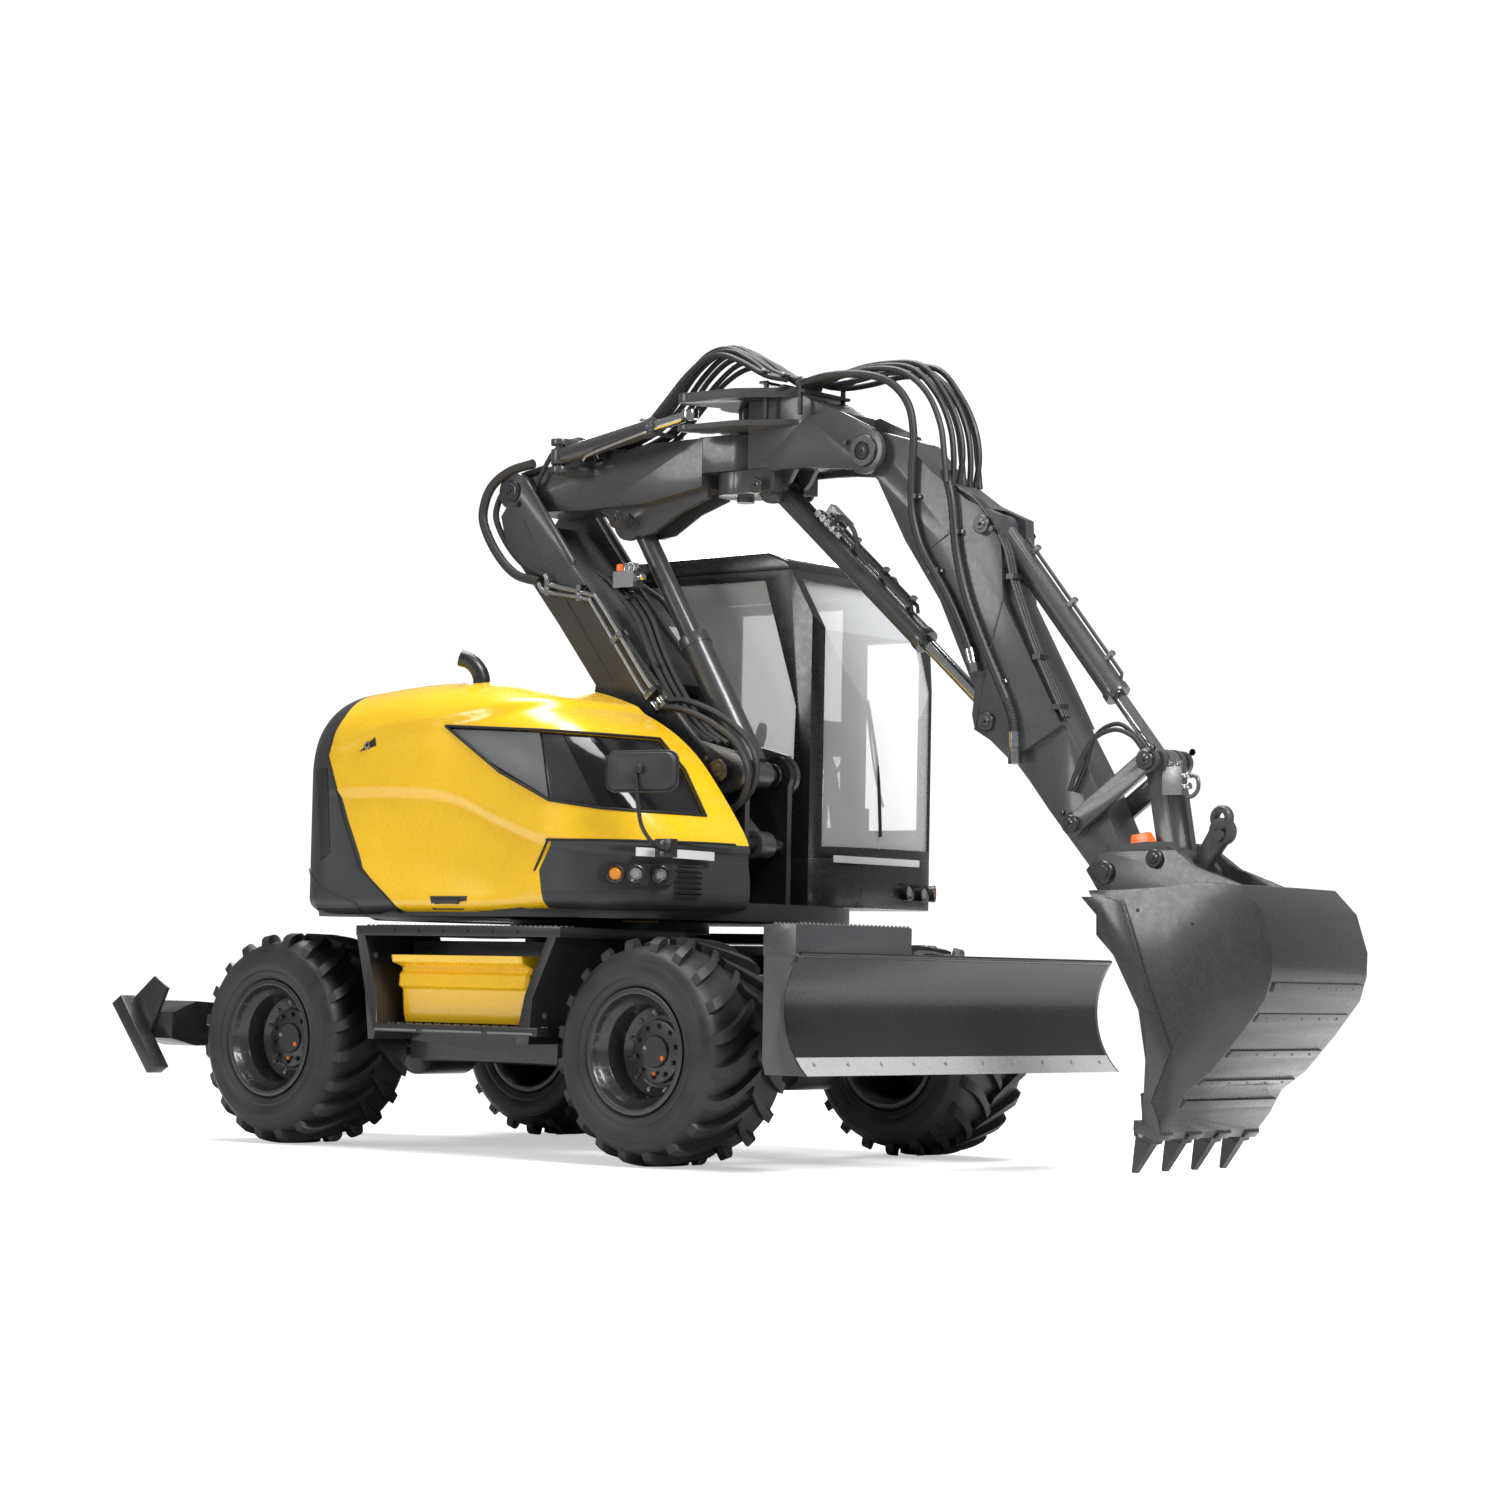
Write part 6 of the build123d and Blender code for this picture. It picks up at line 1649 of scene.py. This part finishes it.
def cushion(name, middle, half, lay, crown, channels, replaces=None):
    """A padded block of half sizes in mm along length, width and thickness, which lay turns to X Y Z."""
    shape = bmesh.new()
    bmesh.ops.create_cube(shape, size=2)
    bmesh.ops.subdivide_edges(shape, edges=shape.edges[:], cuts=27, use_grid_fill=True)
    for vert in shape.verts:
        length, width, thick = vert.co
        norm = (abs(length) ** 6 + abs(width) ** 6 + abs(thick) ** 6) ** (1 / 6)
        length, width, thick = length / norm, width / norm, thick / norm
        pull = 1 - 0.016 * exp(-((thick - 0.35) / 0.09) ** 2)
        rise = crown * (1 - length ** 2) * (1 - width ** 2) if thick > 0 else 0
        if thick > 0.4:
            for at_length in channels:
                rise -= 7 * exp(-((length - at_length) / 0.045) ** 2) * (1 - width ** 4)
            rise += 16 * exp(-((abs(width) - 0.78) / 0.16) ** 2) * (1 - length ** 4)
        vert.co = at(*(Vector(middle) + lay @ Vector((
            half[0] * length * pull * (1 - 0.03 * (1 - width ** 2)),
            half[1] * width * pull * (1 - 0.045 * (1 - length ** 2)),
            half[2] * thick + rise))))
    mesh = bpy.data.meshes.new(name)
    shape.to_mesh(mesh)
    shape.free()
    mesh.materials.append(SEAT)
    made = finish_piece(mesh, name, "turret", 60, replaces)


def add_seat():
    low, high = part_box("cab_seat")
    y = 500 * (low[1] + high[1])
    level = Matrix.Identity(3)
    upright = Matrix(((0, 0, 1), (0, 1, 0), (1, 0, 0)))
    lean = Matrix.Rotation(radians(-5), 3, "Y") @ upright
    cushion("seat_cushion", (172, y, 1636), (236, 234, 56), level, 10, (-0.45, 0.1), "cab_seat")
    cushion("seat_back", (-22, y, 2022), (318, 222, 46), lean, 8, (-0.6, -0.2, 0.2))
    cushion("seat_headrest", (-42, y, 2412), (82, 128, 36), lean, 8, ())
    stand = Shape(BLACK, RUBBER_SEAL, PLASTIC)
    stand.block((20, y - 170, 1320), (340, y + 170, 1360), 0)
    for step in range(6):
        reach = 150 if step % 2 else 132
        stand.block((180 - reach, y - reach, 1360 + 32 * step), (180 + reach, y + reach, 1392 + 32 * step), 1)
    stand.block((-40, y - 190, 1552), (380, y + 190, 1584), 2)
    for side in (-90, 90):
        stand.tube([(-30, y + side * 0.6, 2300), (-40, y + side * 0.6, 2360)], 7, 8, 0, 0)
    stand.build("seat_stand", "turret", 4, 2)

add_controls()
add_wiper()
add_seat()
